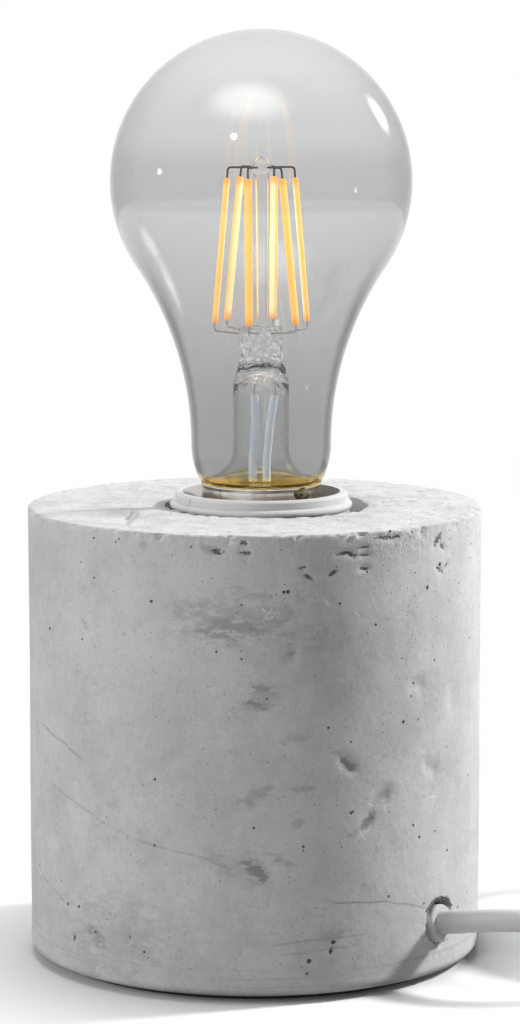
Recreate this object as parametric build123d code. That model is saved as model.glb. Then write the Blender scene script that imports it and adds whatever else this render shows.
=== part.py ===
from build123d import *
import math
import os

# A cast concrete table lamp with a bare filament bulb, a sunk lampholder and a cord put away beside it.
# Millimetres. The origin is under the middle of the felt pad, +Z is up and the front faces -Y.

# Concrete base and felt pad
BASE_DIAMETER = 100.0
BASE_HEIGHT = 98.5
TOP_EDGE_RADIUS = 0.8
FOOT_EDGE_RADIUS = 2.0
PAD_DIAMETER = 90.0
PAD_THICKNESS = 1.5
RECESS_DIAMETER = 45.0
RECESS_OFFSET = 2.6
WEB_THICKNESS = 14.0
POCKET_DIAMETER = 56.0

# Wedge broken out of the top, at the left: its plan corners and its deepest point below the top
CHIP_CORNERS = [(-45.0, -18.0), (-26.2, -9.2), (-25.0, -17.5), (-27.0, -37.0)]
CHIP_DEEPEST = (-27.2, -11.0)
CHIP_DEPTH = 1.7

# Cord and the bush that it leaves by
CORD_DIAMETER = 5.0
EXIT_AZIMUTH = 52.0
EXIT_CLIMB = 12.0
EXIT_HEIGHT = 12.9
BUSH_DIAMETER = 8.2
BUSH_PROUD = 0.8
BUSH_EDGE_RADIUS = 0.7
CORD_FIT = 0.05
BUSH_FIT = 0.1
INNER_BEND_RADIUS = 12.0
CORE_DIAMETER = 2.0
CORE_GAP = 0.4
CORE_STRAIGHT_SHARE = 0.25
SHEATH_STRIP = 1.0
BEND_SHARE = 0.45

# Cord anchor in the pocket
ANCHOR_DIAMETER = 9.0
ANCHOR_LENGTH = 6.0
ANCHOR_SLIT = 1.2
ANCHOR_LUG = 4.6
ANCHOR_SCREW_DIAMETER = 2.5
ANCHOR_HEAD_DIAMETER = 4.4
ANCHOR_HEAD_HEIGHT = 1.8
WALL_GAP = 0.3

# Threaded fixing tube, washers and nut
TUBE_DIAMETER = 9.9
TUBE_BORE = 7.2
TUBE_HOLE_DIAMETER = 10.8
TUBE_END = 2.0
WASHER_DIAMETER = 20.0
WASHER_THICKNESS = 1.5
NUT_ACROSS_FLATS = 14.0
NUT_THICKNESS = 5.5
SCREW_FIT = 0.05

# Lampholder, which stands a little to the right of the base's axis
HOLDER_OFFSET = 1.4
HOLDER_DIAMETER = 39.0
HOLDER_LENGTH = 56.0
HOLDER_RISE = 2.9
HOLDER_WALL = 2.1
RIM_NARROWING = 0.5
RIM_HEIGHT = 2.0
RIM_EDGE_RADIUS = 0.7
BEAD_HEIGHT = 1.8
BEAD_PROUD = 0.6
LEDGE_DIAMETER = 31.0
LEDGE_THICKNESS = 2.0
SPIGOT_LENGTH = 8.0
SPIGOT_WALL = 2.2
SKIRT_FIT = 0.15
CUP_FOOT_DIAMETER = 24.0
CUP_SHOULDER_HEIGHT = 9.0
CUP_FLOOR = 3.0
ENTRY_DIAMETER = 17.0
ENTRY_HEIGHT = 8.0
GRUB_DIAMETER = 3.0
GRUB_HEIGHT = 5.4
GRUB_LENGTH = 3.4
BLOCK_FLANGE = 2.0
BLOCK_GAP = 0.35

# Screw shell and contacts, for a cap 27 mm across its thread
SHELL_BORE = 27.0
SHELL_WALL = 0.6
SHELL_HEIGHT = 23.0
SHELL_FLANGE_BORE = 21.0
TONGUE_WIDTH = 6.0
TONGUE_THICKNESS = 0.6
TONGUE_RISE = 3.5
TONGUE_FOOT = 7.6
TONGUE_FOOT_LENGTH = 3.6
TONGUE_TIP = 3.2
CONTACT_GAP = 0.05
RIVET_DIAMETER = 2.0
RIVET_HEAD_DIAMETER = 2.6
RIVET_HEAD_HEIGHT = 0.7
TERMINAL_LENGTH = 6.4
TERMINAL_WIDTH = 6.0
TERMINAL_HEIGHT = 5.6
TERMINAL_WELL_GAP = 0.4
TERMINAL_OFFSET = 6.6
TERMINAL_SCREW_DIAMETER = 3.0
CORE_GRIP = 3.0

# Bulb
CAP_DIAMETER = 26.2
CAP_WALL = 0.4
CAP_RISE = 4.8
CAP_SHELL_HEIGHT = 21.8
CAP_EDGE_BORE = 19.0
INSULATOR_HEIGHT = 3.0
INSULATOR_NECK_DIAMETER = 13.0
INSULATOR_RIM_DIAMETER = 23.4
TIP_DIAMETER = 9.6
TIP_HEIGHT = 1.7
TIP_FLAT_DIAMETER = 5.8
TIP_STALK_DIAMETER = 4.8
CEMENT_DEPTH = 5.0
CEMENT_BORE = 21.6
CEMENT_LIP = 0.2
BULB_DIAMETER = 66.0
BULB_CENTRE_RISE = 66.1
GLASS_WALL = 0.8
NECK_DIAMETER = 30.8
NECK_FOOT_DIAMETER = 26.6
SHOULDER_RADIUS = 70.0
STEM_DIAMETER = 12.3
STEM_WALL = 0.9
FLARE_HEIGHT = 7.6
STEM_TUBE_RISE = 23.0
FLARE_GAP = 0.1
PRESS_WIDTH = 9.0
PRESS_THICKNESS = 4.2
PRESS_CORNER_RADIUS = 1.9
PRESS_LOW = 26.4
PRESS_HIGH = 34.6
ROD_DIAMETER = 3.3
BEAD_DIAMETER = 4.6
BEAD_RISE = 69.2
SOLDER_DIAMETER = 3.0
SOLDER_AZIMUTH = 45.0

# Filaments and the wires that hold them
FILAMENT_COUNT = 6
FILAMENT_DIAMETER = 1.8
FILAMENT_TURN = -22.5
FILAMENT_TWIST = 8.0
FILAMENT_TOP_RADIUS = 7.5
FILAMENT_TOP_RISE = 66.9
FILAMENT_FOOT_RADIUS = 10.5
FILAMENT_FOOT_RISE = 35.4
WIRE_DIAMETER = 0.45
WIRE_BEND = 0.7
WIRE_STUB = 1.5
WIRE_FIT = 0.05
SLEEVE_DIAMETER = 1.8
SLEEVE_BARE_SHARE = 0.2
SLEEVE_FOOT_DROP = 1.2
LEFT_LEAD = [(-1.5, 21.4), (-1.3, 13.0), (-1.9, 5.0)]
RIGHT_LEAD = [(3.2, 21.4), (2.0, 13.0), (1.2, 5.0)]
BOARD_DIAMETER = 24.8
BOARD_THICKNESS = 1.2
BOARD_DROP = 7.0
CAPACITOR_DIAMETER = 6.3
CAPACITOR_HEIGHT = 9.0
COIL_CHIP = (5.0, 5.0, 4.0)
DRIVER_CHIP = (5.0, 4.0, 1.6)

# Cord put away beside the lamp, out of sight of the front view
COIL_CENTRE = (104.0, 5.0)
COIL_OUTER_RADIUS = 34.0
COIL_GAP = 0.6
LOWER_START_ANGLE = -75.0
LOWER_TURNS = 3.875
UPPER_START_ANGLE = 135.0
UPPER_TURNS = 3.625
CLIMB_TURN = 0.25
KNOT_TURN = 0.25
TIE_ANGLE = -30.0
TIE_WIDTH = 8.0
TIE_THICKNESS = 0.8
TIE_GAP = 0.2
TIE_SIDE_GAP = 1.0
TIE_CORNER_RADIUS = 3.0
END_RUN = 11.0

# In-line switch
SWITCH_CENTRE = (153.0, 11.0)
SWITCH_LENGTH = 62.0
SWITCH_WIDTH = 23.0
SWITCH_END_WIDTH = 12.0
SWITCH_HEIGHT = 17.0
SWITCH_SEAM = 8.0
SWITCH_WALL = 2.0
SWITCH_EDGE_RADIUS = 2.5
SWITCH_CORD_DEPTH = 8.0
ROCKER_LENGTH_RADIUS = 12.2
ROCKER_WIDTH = 10.4
ROCKER_GAP = 0.4
ROCKER_SWING = 20.0
ROCKER_DISH = 1.5
ROCKER_CORNER = 6.7
ROCKER_UNDERSIDE = 1.2
ROCKER_HUB_DIAMETER = 5.0
PIVOT_HEIGHT = 11.0
PIN_DIAMETER = 2.0
PIN_FIT = 0.06
LUG_THICKNESS = 2.0
LUG_LENGTH = 6.0
LUG_DEPTH = 3.0
SWITCH_BOSS_DIAMETER = 6.0
SWITCH_BOSS_PLACE = (18.5, 6.2)
SWITCH_SCREW_DIAMETER = 2.6
SWITCH_SCREW_LENGTH = 9.0
SWITCH_HEAD_DIAMETER = 4.6
SWITCH_HEAD_HEIGHT = 1.8
SWITCH_HEAD_SINK = 0.4
CONTACT_WIDTH = 4.0
CONTACT_THICKNESS = 0.8
CONTACT_INNER = 5.0
CONTACT_OUTER = 20.0
CONTACT_POST = 3.2

# Two-pin plug
PLUG_PLACE = (82.0, 12.0)
PLUG_WIDTH = 35.3
PLUG_FLAT_WIDTH = 26.1
PLUG_THICKNESS = 13.7
PLUG_LENGTH = 34.0
PLUG_TAPER_START = 18.0
PLUG_TAIL_SCALE = 0.62
PLUG_CORNER_RADIUS = 2.0
PLUG_REST_GAP = 0.4
PLUG_PIN_SPACING = 18.6
PLUG_PIN_DIAMETER = 4.0
PLUG_PIN_LENGTH = 19.0
PIN_TIP_RADIUS = 1.6
SLEEVED_LENGTH = 10.0
PIN_SLEEVE_DIAMETER = 3.8
PIN_CORE_DIAMETER = 3.0
PIN_ROOT = 8.0
RELIEF_LENGTH = 22.0
RELIEF_ROOT_DIAMETER = 8.6
RELIEF_TIP_DIAMETER = 6.4
RELIEF_GROOVES = 5
RELIEF_GROOVE_WIDTH = 1.6
RELIEF_GROOVE_DEPTH = 0.5

# Heights that follow from the sizes above
TOP = PAD_THICKNESS + BASE_HEIGHT
HOLDER_RIM = TOP + HOLDER_RISE
HOLDER_BOTTOM = HOLDER_RIM - HOLDER_LENGTH
RECESS_FLOOR = HOLDER_BOTTOM - WASHER_THICKNESS
POCKET_ROOF = RECESS_FLOOR - WEB_THICKNESS
NUT_TOP = POCKET_ROOF - WASHER_THICKNESS
TUBE_LOW = NUT_TOP - NUT_THICKNESS - TUBE_END
TUBE_HIGH = HOLDER_BOTTOM + ENTRY_HEIGHT
SHEATH_END = TUBE_HIGH + SHEATH_STRIP
CAP_RIM = TOP + CAP_RISE
CAP_FOOT = CAP_RIM - CAP_SHELL_HEIGHT
TIP_LOW = CAP_FOOT - INSULATOR_HEIGHT - TIP_HEIGHT
TONGUE_TOP = TIP_LOW - CONTACT_GAP
BLOCK_TOP = TONGUE_TOP - TONGUE_RISE
SPIGOT_TOP = BLOCK_TOP - BLOCK_FLANGE
SKIRT_LOW = SPIGOT_TOP - SPIGOT_LENGTH
GLASS_FOOT = CAP_RIM + CEMENT_LIP
BULB_CENTRE = CAP_RIM + BULB_CENTRE_RISE
BOARD_TOP = CAP_RIM - BOARD_DROP
SKIRT_BORE = HOLDER_DIAMETER - 2 * HOLDER_WALL
SPIGOT_DIAMETER = SKIRT_BORE - 2 * SKIRT_FIT
CUP_BORE = SPIGOT_DIAMETER - 2 * SPIGOT_WALL
COIL_PITCH = CORD_DIAMETER + COIL_GAP
COIL_FLOOR = TIE_THICKNESS + TIE_GAP
COIL_TOP = COIL_FLOOR + 3 * COIL_PITCH + CORD_DIAMETER
PLUG_AXIS = COIL_TOP + PLUG_REST_GAP + PLUG_THICKNESS / 2

# The cord leaves along an axis that looks out from the holder's own axis and climbs a little
EXIT_SIDE = Vector(math.sin(math.radians(EXIT_AZIMUTH)), -math.cos(math.radians(EXIT_AZIMUTH)), 0)
EXIT_SLOPE = math.tan(math.radians(EXIT_CLIMB))
EXIT = (EXIT_SIDE + (0, 0, EXIT_SLOPE)).normalized()
EXIT_ALONG = abs(EXIT_SIDE.X) * HOLDER_OFFSET
EXIT_ASIDE = abs(EXIT_SIDE.Y) * HOLDER_OFFSET

# The free stretches of the cord, point by point, from the lamp to the plug
LAMP_LEAD = [
    (61.5, -42.8, 16.4),
    (74.5, -43.6, 12.4),
    (86.0, -39.0, 6.2),
]
SWITCH_LEAD = [
    (113.0, -40.8, 9.0),
    (124.8, -46.4, 6.5),
    (136.8, -46.6, 5.4),
    (147.2, -41.0, 6.4),
]
COIL_LEAD = [
    (147.2, 62.2, 7.2),
    (137.0, 68.2, 7.0),
    (125.0, 68.4, 8.0),
    (114.2, 62.6, 10.4),
    (103.6, 52.6, 13.2),
]
PLUG_LEAD = [
    (138.6, 32.0, 22.0),
    (136.2, 45.0, 24.0),
    (128.2, 56.0, 26.0),
    (116.0, 62.4, 27.6),
    (102.4, 62.2, 28.8),
    (90.4, 55.4, 29.6),
]

UPRIGHT = (Align.CENTER, Align.CENTER, Align.MIN)
HOLDER_AXIS = Pos(HOLDER_OFFSET, 0, 0)
parts = {}
on_holder_axis = {}


def disc(diameter, low, high):
    """Upright cylinder on the axis between two heights."""
    return Pos(0, 0, low) * Cylinder(diameter / 2, high - low, align=UPRIGHT)


def ring(outer, inner, low, high):
    """Upright tube on the axis between two heights."""
    return disc(outer, low, high) - disc(inner, low, high)


def turned(*outline):
    """Solid turned about the axis from lines and arcs in radius and height."""
    return revolve(Plane.XZ * make_face(outline), Axis.Z)


def facing(origin, direction):
    """Plane whose normal points along a direction."""
    return Plane(origin=origin, z_dir=direction)


def rod_between(start, end, diameter):
    """Round rod from one point to another."""
    axis = Vector(end) - Vector(start)
    return facing(start, axis) * Cylinder(diameter / 2, axis.length, align=UPRIGHT)


def exit_reach(radius, half_width=0):
    """Distance along the cord's exit from the holder's axis to a radius of the base."""
    return math.sqrt(radius**2 - (EXIT_ASIDE + half_width) ** 2) - EXIT_ALONG


EXIT_FACE = exit_reach(BASE_DIAMETER / 2 + BUSH_PROUD)


def on_exit(reach):
    """Point of the cord's exit axis at a distance from the holder's axis."""
    return EXIT_SIDE * reach + (HOLDER_OFFSET, 0, EXIT_HEIGHT + EXIT_SLOPE * (reach - EXIT_FACE))


def bend_radii(points):
    """The largest easy bend at each corner of a route."""
    radii = []
    for before, corner, after in zip(points, points[1:], points[2:]):
        arriving = corner - before
        leaving = after - corner
        half_turn = math.radians(arriving.get_angle(leaving)) / 2
        radii.append(BEND_SHARE * min(arriving.length, leaving.length) / math.tan(half_turn))
    return radii


def tube(name, points, diameter):
    """Round tube along straight runs joined by tangent arcs."""
    route = [Vector(point) for point in points]
    radii = bend_radii(route)
    path = FilletPolyline(*route, radius=radii)
    solid = sweep(facing(path @ 0, path % 0) * Circle(diameter / 2), path=path)
    expected = math.pi * diameter**2 / 4 * path.length
    print(name, "length %.1f" % path.length, "volume ratio %.4f" % (solid.volume / expected),
          "radii", ["%.1f" % radius for radius in radii])
    return solid


def wire(points, diameter, bend):
    """Thin stiff wire with small even bends."""
    path = FilletPolyline(*points, radius=bend)
    return sweep(facing(path @ 0, path % 0) * Circle(diameter / 2), path=path)


# Concrete base, felt pad and cord bush
def concrete_body():
    body = disc(BASE_DIAMETER, PAD_THICKNESS, TOP)
    body = fillet(body.edges().group_by(Axis.Z)[-1], TOP_EDGE_RADIUS)
    body = fillet(body.edges().group_by(Axis.Z)[0], FOOT_EDGE_RADIUS)
    body -= Pos(RECESS_OFFSET, 0, 0) * disc(RECESS_DIAMETER, RECESS_FLOOR, TOP)
    body -= disc(POCKET_DIAMETER, PAD_THICKNESS, POCKET_ROOF)
    body -= HOLDER_AXIS * disc(TUBE_HOLE_DIAMETER, POCKET_ROOF, RECESS_FLOOR)
    hole = Cylinder(BUSH_DIAMETER / 2 + BUSH_FIT, BASE_DIAMETER, align=UPRIGHT)
    body -= facing(on_exit(exit_reach(POCKET_DIAMETER / 2) - BUSH_DIAMETER), EXIT) * hole
    corners = Polyline(*CHIP_CORNERS, close=True)
    deepest = Vertex(*CHIP_DEEPEST, TOP - CHIP_DEPTH)
    return body - loft([Pos(0, 0, TOP) * make_face(corners), deepest], ruled=True)


def cord_bush():
    inner_end = exit_reach(POCKET_DIAMETER / 2)
    length = (on_exit(EXIT_FACE) - on_exit(inner_end)).length
    sleeve = Cylinder(BUSH_DIAMETER / 2, length, align=UPRIGHT)
    sleeve = fillet(sleeve.edges().group_by(Axis.Z)[-1], BUSH_EDGE_RADIUS)
    sleeve -= Cylinder(CORD_DIAMETER / 2 + CORD_FIT, length, align=UPRIGHT)
    return facing(on_exit(inner_end), EXIT) * sleeve


parts["concrete_body"] = concrete_body()
parts["base_pad"] = disc(PAD_DIAMETER, 0, PAD_THICKNESS)
parts["cord_bush"] = cord_bush()


# Fixing tube through the web, clamped by washers and a nut
def fixing_nut():
    hexagon = RegularPolygon(NUT_ACROSS_FLATS / 2, 6, major_radius=False)
    nut = Pos(0, 0, NUT_TOP - NUT_THICKNESS) * extrude(hexagon, NUT_THICKNESS)
    return nut - disc(TUBE_DIAMETER + 2 * SCREW_FIT, NUT_TOP - NUT_THICKNESS, NUT_TOP)


WASHER_BORE = TUBE_DIAMETER + 4 * SCREW_FIT
on_holder_axis["fixing_tube"] = ring(TUBE_DIAMETER, TUBE_BORE, TUBE_LOW, TUBE_HIGH)
on_holder_axis["upper_washer"] = ring(WASHER_DIAMETER, WASHER_BORE, RECESS_FLOOR, HOLDER_BOTTOM)
on_holder_axis["lower_washer"] = ring(WASHER_DIAMETER, WASHER_BORE, NUT_TOP, POCKET_ROOF)
on_holder_axis["fixing_nut"] = fixing_nut()


# Cord anchor: a split collar that bears on the pocket wall and is closed by a screw
ANCHOR_HALF = ANCHOR_DIAMETER / 2
ANCHOR_LEAN = ANCHOR_HALF * EXIT_SLOPE
ANCHOR_FACE = exit_reach(POCKET_DIAMETER / 2, ANCHOR_HALF) - ANCHOR_LEAN - WALL_GAP
ANCHOR_ORIGIN = on_exit(ANCHOR_FACE) - EXIT * ANCHOR_LENGTH
ANCHOR_UP = Vector(0, 0, 1) - EXIT_SIDE * EXIT_SLOPE
ANCHOR_PLACE = Plane(origin=ANCHOR_ORIGIN, x_dir=ANCHOR_UP, z_dir=EXIT)
LUG_MIDDLE = ANCHOR_HALF + ANCHOR_LUG / 2
LUG_HALF_WIDTH = ANCHOR_HALF / 2


def anchor_clamp():
    collar = Cylinder(ANCHOR_HALF, ANCHOR_LENGTH, align=UPRIGHT)
    lug = Box(ANCHOR_LUG + ANCHOR_HALF, 2 * LUG_HALF_WIDTH, ANCHOR_LENGTH,
              align=(Align.MIN, Align.CENTER, Align.MIN))
    collar += lug
    collar -= Cylinder(CORD_DIAMETER / 2 + CORD_FIT, ANCHOR_LENGTH, align=UPRIGHT)
    collar -= Box(ANCHOR_DIAMETER + ANCHOR_LUG, ANCHOR_SLIT, ANCHOR_LENGTH,
                  align=(Align.MIN, Align.CENTER, Align.MIN))
    hole = Cylinder(ANCHOR_SCREW_DIAMETER / 2 + SCREW_FIT, ANCHOR_DIAMETER)
    collar -= Pos(LUG_MIDDLE, 0, ANCHOR_LENGTH / 2) * Rot(90, 0, 0) * hole
    return ANCHOR_PLACE * collar


def anchor_screw():
    length = 2 * LUG_HALF_WIDTH
    shank = Cylinder(ANCHOR_SCREW_DIAMETER / 2, length)
    head = Pos(0, 0, length / 2) * Cylinder(
        ANCHOR_HEAD_DIAMETER / 2, ANCHOR_HEAD_HEIGHT, align=UPRIGHT)
    return ANCHOR_PLACE * Pos(LUG_MIDDLE, 0, ANCHOR_LENGTH / 2) * Rot(90, 0, 0) * (shank + head)


parts["anchor_clamp"] = anchor_clamp()
parts["anchor_screw"] = anchor_screw()


# Lampholder: a cup on the fixing tube and a skirt that screws over the cup's spigot
def holder_cup():
    outer = HOLDER_DIAMETER / 2
    foot = CUP_FOOT_DIAMETER / 2
    entry = TUBE_DIAMETER / 2 + SCREW_FIT
    shoulder = HOLDER_BOTTOM + CUP_SHOULDER_HEIGHT
    dome = TangentArc((outer, shoulder), (foot, HOLDER_BOTTOM), tangent=(0, -1))
    rest = Polyline(
        (foot, HOLDER_BOTTOM),
        (entry, HOLDER_BOTTOM),
        (entry, TUBE_HIGH),
        (ENTRY_DIAMETER / 2, TUBE_HIGH),
        (ENTRY_DIAMETER / 2, HOLDER_BOTTOM + CUP_FLOOR),
        (CUP_BORE / 2, shoulder),
        (CUP_BORE / 2, SPIGOT_TOP),
        (SPIGOT_DIAMETER / 2, SPIGOT_TOP),
        (SPIGOT_DIAMETER / 2, SKIRT_LOW),
        (outer, SKIRT_LOW),
        (outer, shoulder),
    )
    cup = turned(dome, rest)
    return cup - grub_axis(0) * Cylinder(GRUB_DIAMETER / 2 + SCREW_FIT, HOLDER_DIAMETER, align=UPRIGHT)


def grub_axis(start):
    """Plane at a distance from the axis, looking out to the right along the grub screw."""
    return facing((start, 0, HOLDER_BOTTOM + GRUB_HEIGHT), (1, 0, 0))


def holder_skirt():
    outer = HOLDER_DIAMETER / 2
    rim = outer - RIM_NARROWING
    bore = SKIRT_BORE / 2
    ledge_top = BLOCK_TOP + LEDGE_THICKNESS
    rim_low = HOLDER_RIM - RIM_HEIGHT
    bead_low = rim_low - BEAD_HEIGHT
    wall = Polyline(
        (rim, rim_low),
        (rim, HOLDER_RIM - RIM_EDGE_RADIUS),
    )
    edge = TangentArc(
        (rim, HOLDER_RIM - RIM_EDGE_RADIUS), (rim - RIM_EDGE_RADIUS, HOLDER_RIM), tangent=(0, 1))
    inside = Polyline(
        (rim - RIM_EDGE_RADIUS, HOLDER_RIM),
        (bore, HOLDER_RIM),
        (bore, ledge_top),
        (LEDGE_DIAMETER / 2, ledge_top),
        (LEDGE_DIAMETER / 2, BLOCK_TOP),
        (bore, BLOCK_TOP),
        (bore, SKIRT_LOW),
        (outer, SKIRT_LOW),
        (outer, bead_low),
    )
    bead = ThreePointArc(
        (outer, bead_low), (outer + BEAD_PROUD, rim_low - BEAD_HEIGHT / 2), (rim, rim_low))
    return turned(wall, edge, inside, bead)


on_holder_axis["holder_cup"] = holder_cup()
on_holder_axis["holder_skirt"] = holder_skirt()
grub_start = grub_axis(TUBE_DIAMETER / 2 + SCREW_FIT)
on_holder_axis["holder_grub_screw"] = grub_start * Cylinder(GRUB_DIAMETER / 2, GRUB_LENGTH, align=UPRIGHT)

# Terminal block with its two wells, and the contacts riveted to its top
BLOCK_BODY = CUP_BORE - 2 * BLOCK_GAP
WELL_ROOF = SKIRT_LOW + TERMINAL_HEIGHT + TERMINAL_WELL_GAP
TERMINAL_LOW = WELL_ROOF - TERMINAL_HEIGHT
SIDE_RIVET = (SHELL_FLANGE_BORE + SHELL_BORE) / 4
RIVETS = [(-TONGUE_FOOT, TONGUE_THICKNESS), (SIDE_RIVET, SHELL_WALL)]
CORE_SIDES = [-1, 1]
CORE_OFFSET = (CORE_DIAMETER + CORE_GAP) / 2


def terminal_block():
    block = disc(BLOCK_BODY, SKIRT_LOW, SPIGOT_TOP)
    block += disc(SKIRT_BORE - 2 * SKIRT_FIT, SPIGOT_TOP, BLOCK_TOP)
    gap = 2 * TERMINAL_WELL_GAP
    for side in CORE_SIDES:
        well = Box(TERMINAL_LENGTH + gap, TERMINAL_WIDTH + gap, WELL_ROOF - SKIRT_LOW, align=UPRIGHT)
        block -= Pos(side * TERMINAL_OFFSET, 0, SKIRT_LOW) * well
    for place, strip in RIVETS:
        hole = Cylinder(RIVET_DIAMETER / 2 + SCREW_FIT, BLOCK_TOP - SKIRT_LOW, align=UPRIGHT)
        block -= Pos(place, 0, SKIRT_LOW) * hole
    return block


def centre_contact():
    """Sprung tongue: a flat foot, a rising leg and a level tip under the bulb's contact."""
    foot_end = -TONGUE_FOOT + TONGUE_FOOT_LENGTH / 2
    low = BLOCK_TOP
    high = TONGUE_TOP - TONGUE_THICKNESS
    mitre = TONGUE_THICKNESS * math.tan(math.atan2(high - low, -TONGUE_TIP - foot_end) / 2)
    outline = Polyline(
        (-TONGUE_FOOT - TONGUE_FOOT_LENGTH / 2, low),
        (foot_end, low),
        (-TONGUE_TIP, high),
        (TONGUE_TIP, high),
        (TONGUE_TIP, high + TONGUE_THICKNESS),
        (-TONGUE_TIP - mitre, high + TONGUE_THICKNESS),
        (foot_end - mitre, low + TONGUE_THICKNESS),
        (-TONGUE_FOOT - TONGUE_FOOT_LENGTH / 2, low + TONGUE_THICKNESS),
        close=True,
    )
    strip = extrude(Plane.XZ * make_face(outline), TONGUE_WIDTH / 2, both=True)
    return strip - Pos(-TONGUE_FOOT, 0, low) * Cylinder(
        RIVET_DIAMETER / 2 + SCREW_FIT, TONGUE_THICKNESS, align=UPRIGHT)


def screw_shell():
    outer = SHELL_BORE + 2 * SHELL_WALL
    shell = ring(outer, SHELL_BORE, BLOCK_TOP, BLOCK_TOP + SHELL_HEIGHT)
    shell += ring(outer, SHELL_FLANGE_BORE, BLOCK_TOP, BLOCK_TOP + SHELL_WALL)
    return shell - Pos(SIDE_RIVET, 0, BLOCK_TOP) * Cylinder(
        RIVET_DIAMETER / 2 + SCREW_FIT, SHELL_WALL, align=UPRIGHT)


def rivet(place, strip):
    """Rivet from a terminal up through the block, with its head on a contact of some thickness."""
    head_low = BLOCK_TOP + strip
    shank = Pos(place, 0, WELL_ROOF) * Cylinder(RIVET_DIAMETER / 2, head_low - WELL_ROOF, align=UPRIGHT)
    head = Pos(place, 0, head_low) * Cylinder(RIVET_HEAD_DIAMETER / 2, RIVET_HEAD_HEIGHT, align=UPRIGHT)
    return shank + head


def terminal(side):
    """Brass block with a hole for the core from below and a clamping screw from the front."""
    block = Pos(side * TERMINAL_OFFSET, 0, TERMINAL_LOW) * Box(
        TERMINAL_LENGTH, TERMINAL_WIDTH, TERMINAL_HEIGHT, align=UPRIGHT)
    block -= Pos(side * TERMINAL_OFFSET, 0, TERMINAL_LOW) * Cylinder(
        CORE_DIAMETER / 2 + SCREW_FIT, CORE_GRIP, align=UPRIGHT)
    return block - terminal_screw(side, TERMINAL_SCREW_DIAMETER + 2 * SCREW_FIT)


def terminal_screw(side, diameter):
    length = TERMINAL_WIDTH / 2 - CORE_DIAMETER / 2 - SCREW_FIT
    place = (side * TERMINAL_OFFSET, -TERMINAL_WIDTH / 2, TERMINAL_LOW + CORE_GRIP)
    return facing(place, (0, 1, 0)) * Cylinder(diameter / 2, length, align=UPRIGHT)


def core(side):
    """Insulated core from the end of the sheath to its terminal."""
    rise = TERMINAL_LOW - SHEATH_END
    start = (side * CORE_OFFSET, 0, SHEATH_END)
    lower = (side * CORE_OFFSET, 0, SHEATH_END + CORE_STRAIGHT_SHARE * rise)
    upper = (side * TERMINAL_OFFSET, 0, TERMINAL_LOW - CORE_STRAIGHT_SHARE * rise)
    end = (side * TERMINAL_OFFSET, 0, TERMINAL_LOW + CORE_GRIP)
    return wire([start, lower, upper, end], CORE_DIAMETER, CORE_DIAMETER)


def inner_cord():
    """The cord from the bush across the pocket and up through the fixing tube."""
    end = (HOLDER_OFFSET, 0, SHEATH_END)
    return wire([on_exit(EXIT_FACE), on_exit(0), end], CORD_DIAMETER, INNER_BEND_RADIUS)


on_holder_axis["terminal_block"] = terminal_block()
on_holder_axis["screw_shell"] = screw_shell()
on_holder_axis["centre_contact"] = centre_contact()
on_holder_axis["contact_rivets"] = [rivet(place, strip) for place, strip in RIVETS]
on_holder_axis["holder_terminals"] = [terminal(side) for side in CORE_SIDES]
on_holder_axis["terminal_screws"] = [terminal_screw(side, TERMINAL_SCREW_DIAMETER) for side in CORE_SIDES]
parts["inner_cord"] = inner_cord()
on_holder_axis["live_core"] = core(-1)
on_holder_axis["neutral_core"] = core(1)

# Bulb cap: shell, insulator, tip contact, cement and the driver inside
CAP_BORE = CAP_DIAMETER - 2 * CAP_WALL
INSULATOR_LOW = CAP_FOOT - INSULATOR_HEIGHT
INSULATOR_HIGH = CAP_FOOT + 2 * CAP_WALL
FOOT_WALL_DIAMETER = NECK_FOOT_DIAMETER - 2 * GLASS_WALL


def cap_shell():
    """Thread tube closed below by an inturned edge that holds the insulator."""
    shell = ring(CAP_DIAMETER, CAP_BORE, CAP_FOOT, CAP_RIM)
    return shell + ring(CAP_DIAMETER, CAP_EDGE_BORE, CAP_FOOT, CAP_FOOT + CAP_WALL)


def cap_insulator():
    hole = TIP_STALK_DIAMETER / 2 + SCREW_FIT
    plug = CAP_EDGE_BORE / 2 - SCREW_FIT
    outline = Polyline(
        (hole, INSULATOR_LOW),
        (INSULATOR_NECK_DIAMETER / 2, INSULATOR_LOW),
        (INSULATOR_RIM_DIAMETER / 2, CAP_FOOT),
        (plug, CAP_FOOT),
        (plug, INSULATOR_HIGH),
        (hole, INSULATOR_HIGH),
        close=True,
    )
    return turned(outline)


def cap_tip():
    """Domed contact with a stalk up through the insulator."""
    half = TIP_DIAMETER / 2
    flat = TIP_FLAT_DIAMETER / 2
    stalk = TIP_STALK_DIAMETER / 2
    outline = Polyline(
        (flat, TIP_LOW),
        (0, TIP_LOW),
        (0, INSULATOR_HIGH),
        (stalk, INSULATOR_HIGH),
        (stalk, INSULATOR_LOW),
        (half, INSULATOR_LOW),
    )
    dome = TangentArc((flat, TIP_LOW), (half, INSULATOR_LOW), tangent=(1, 0))
    return turned(outline, dome)


def cap_cement():
    bore = CEMENT_BORE / 2
    wall = CAP_BORE / 2 - SCREW_FIT
    lip = NECK_FOOT_DIAMETER / 2
    outline = Polyline(
        (bore, CAP_RIM - CEMENT_DEPTH),
        (wall, CAP_RIM - CEMENT_DEPTH),
        (wall, CAP_RIM),
        (lip, CAP_RIM),
        (lip, GLASS_FOOT),
        (bore, GLASS_FOOT),
        close=True,
    )
    return turned(outline)


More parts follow.
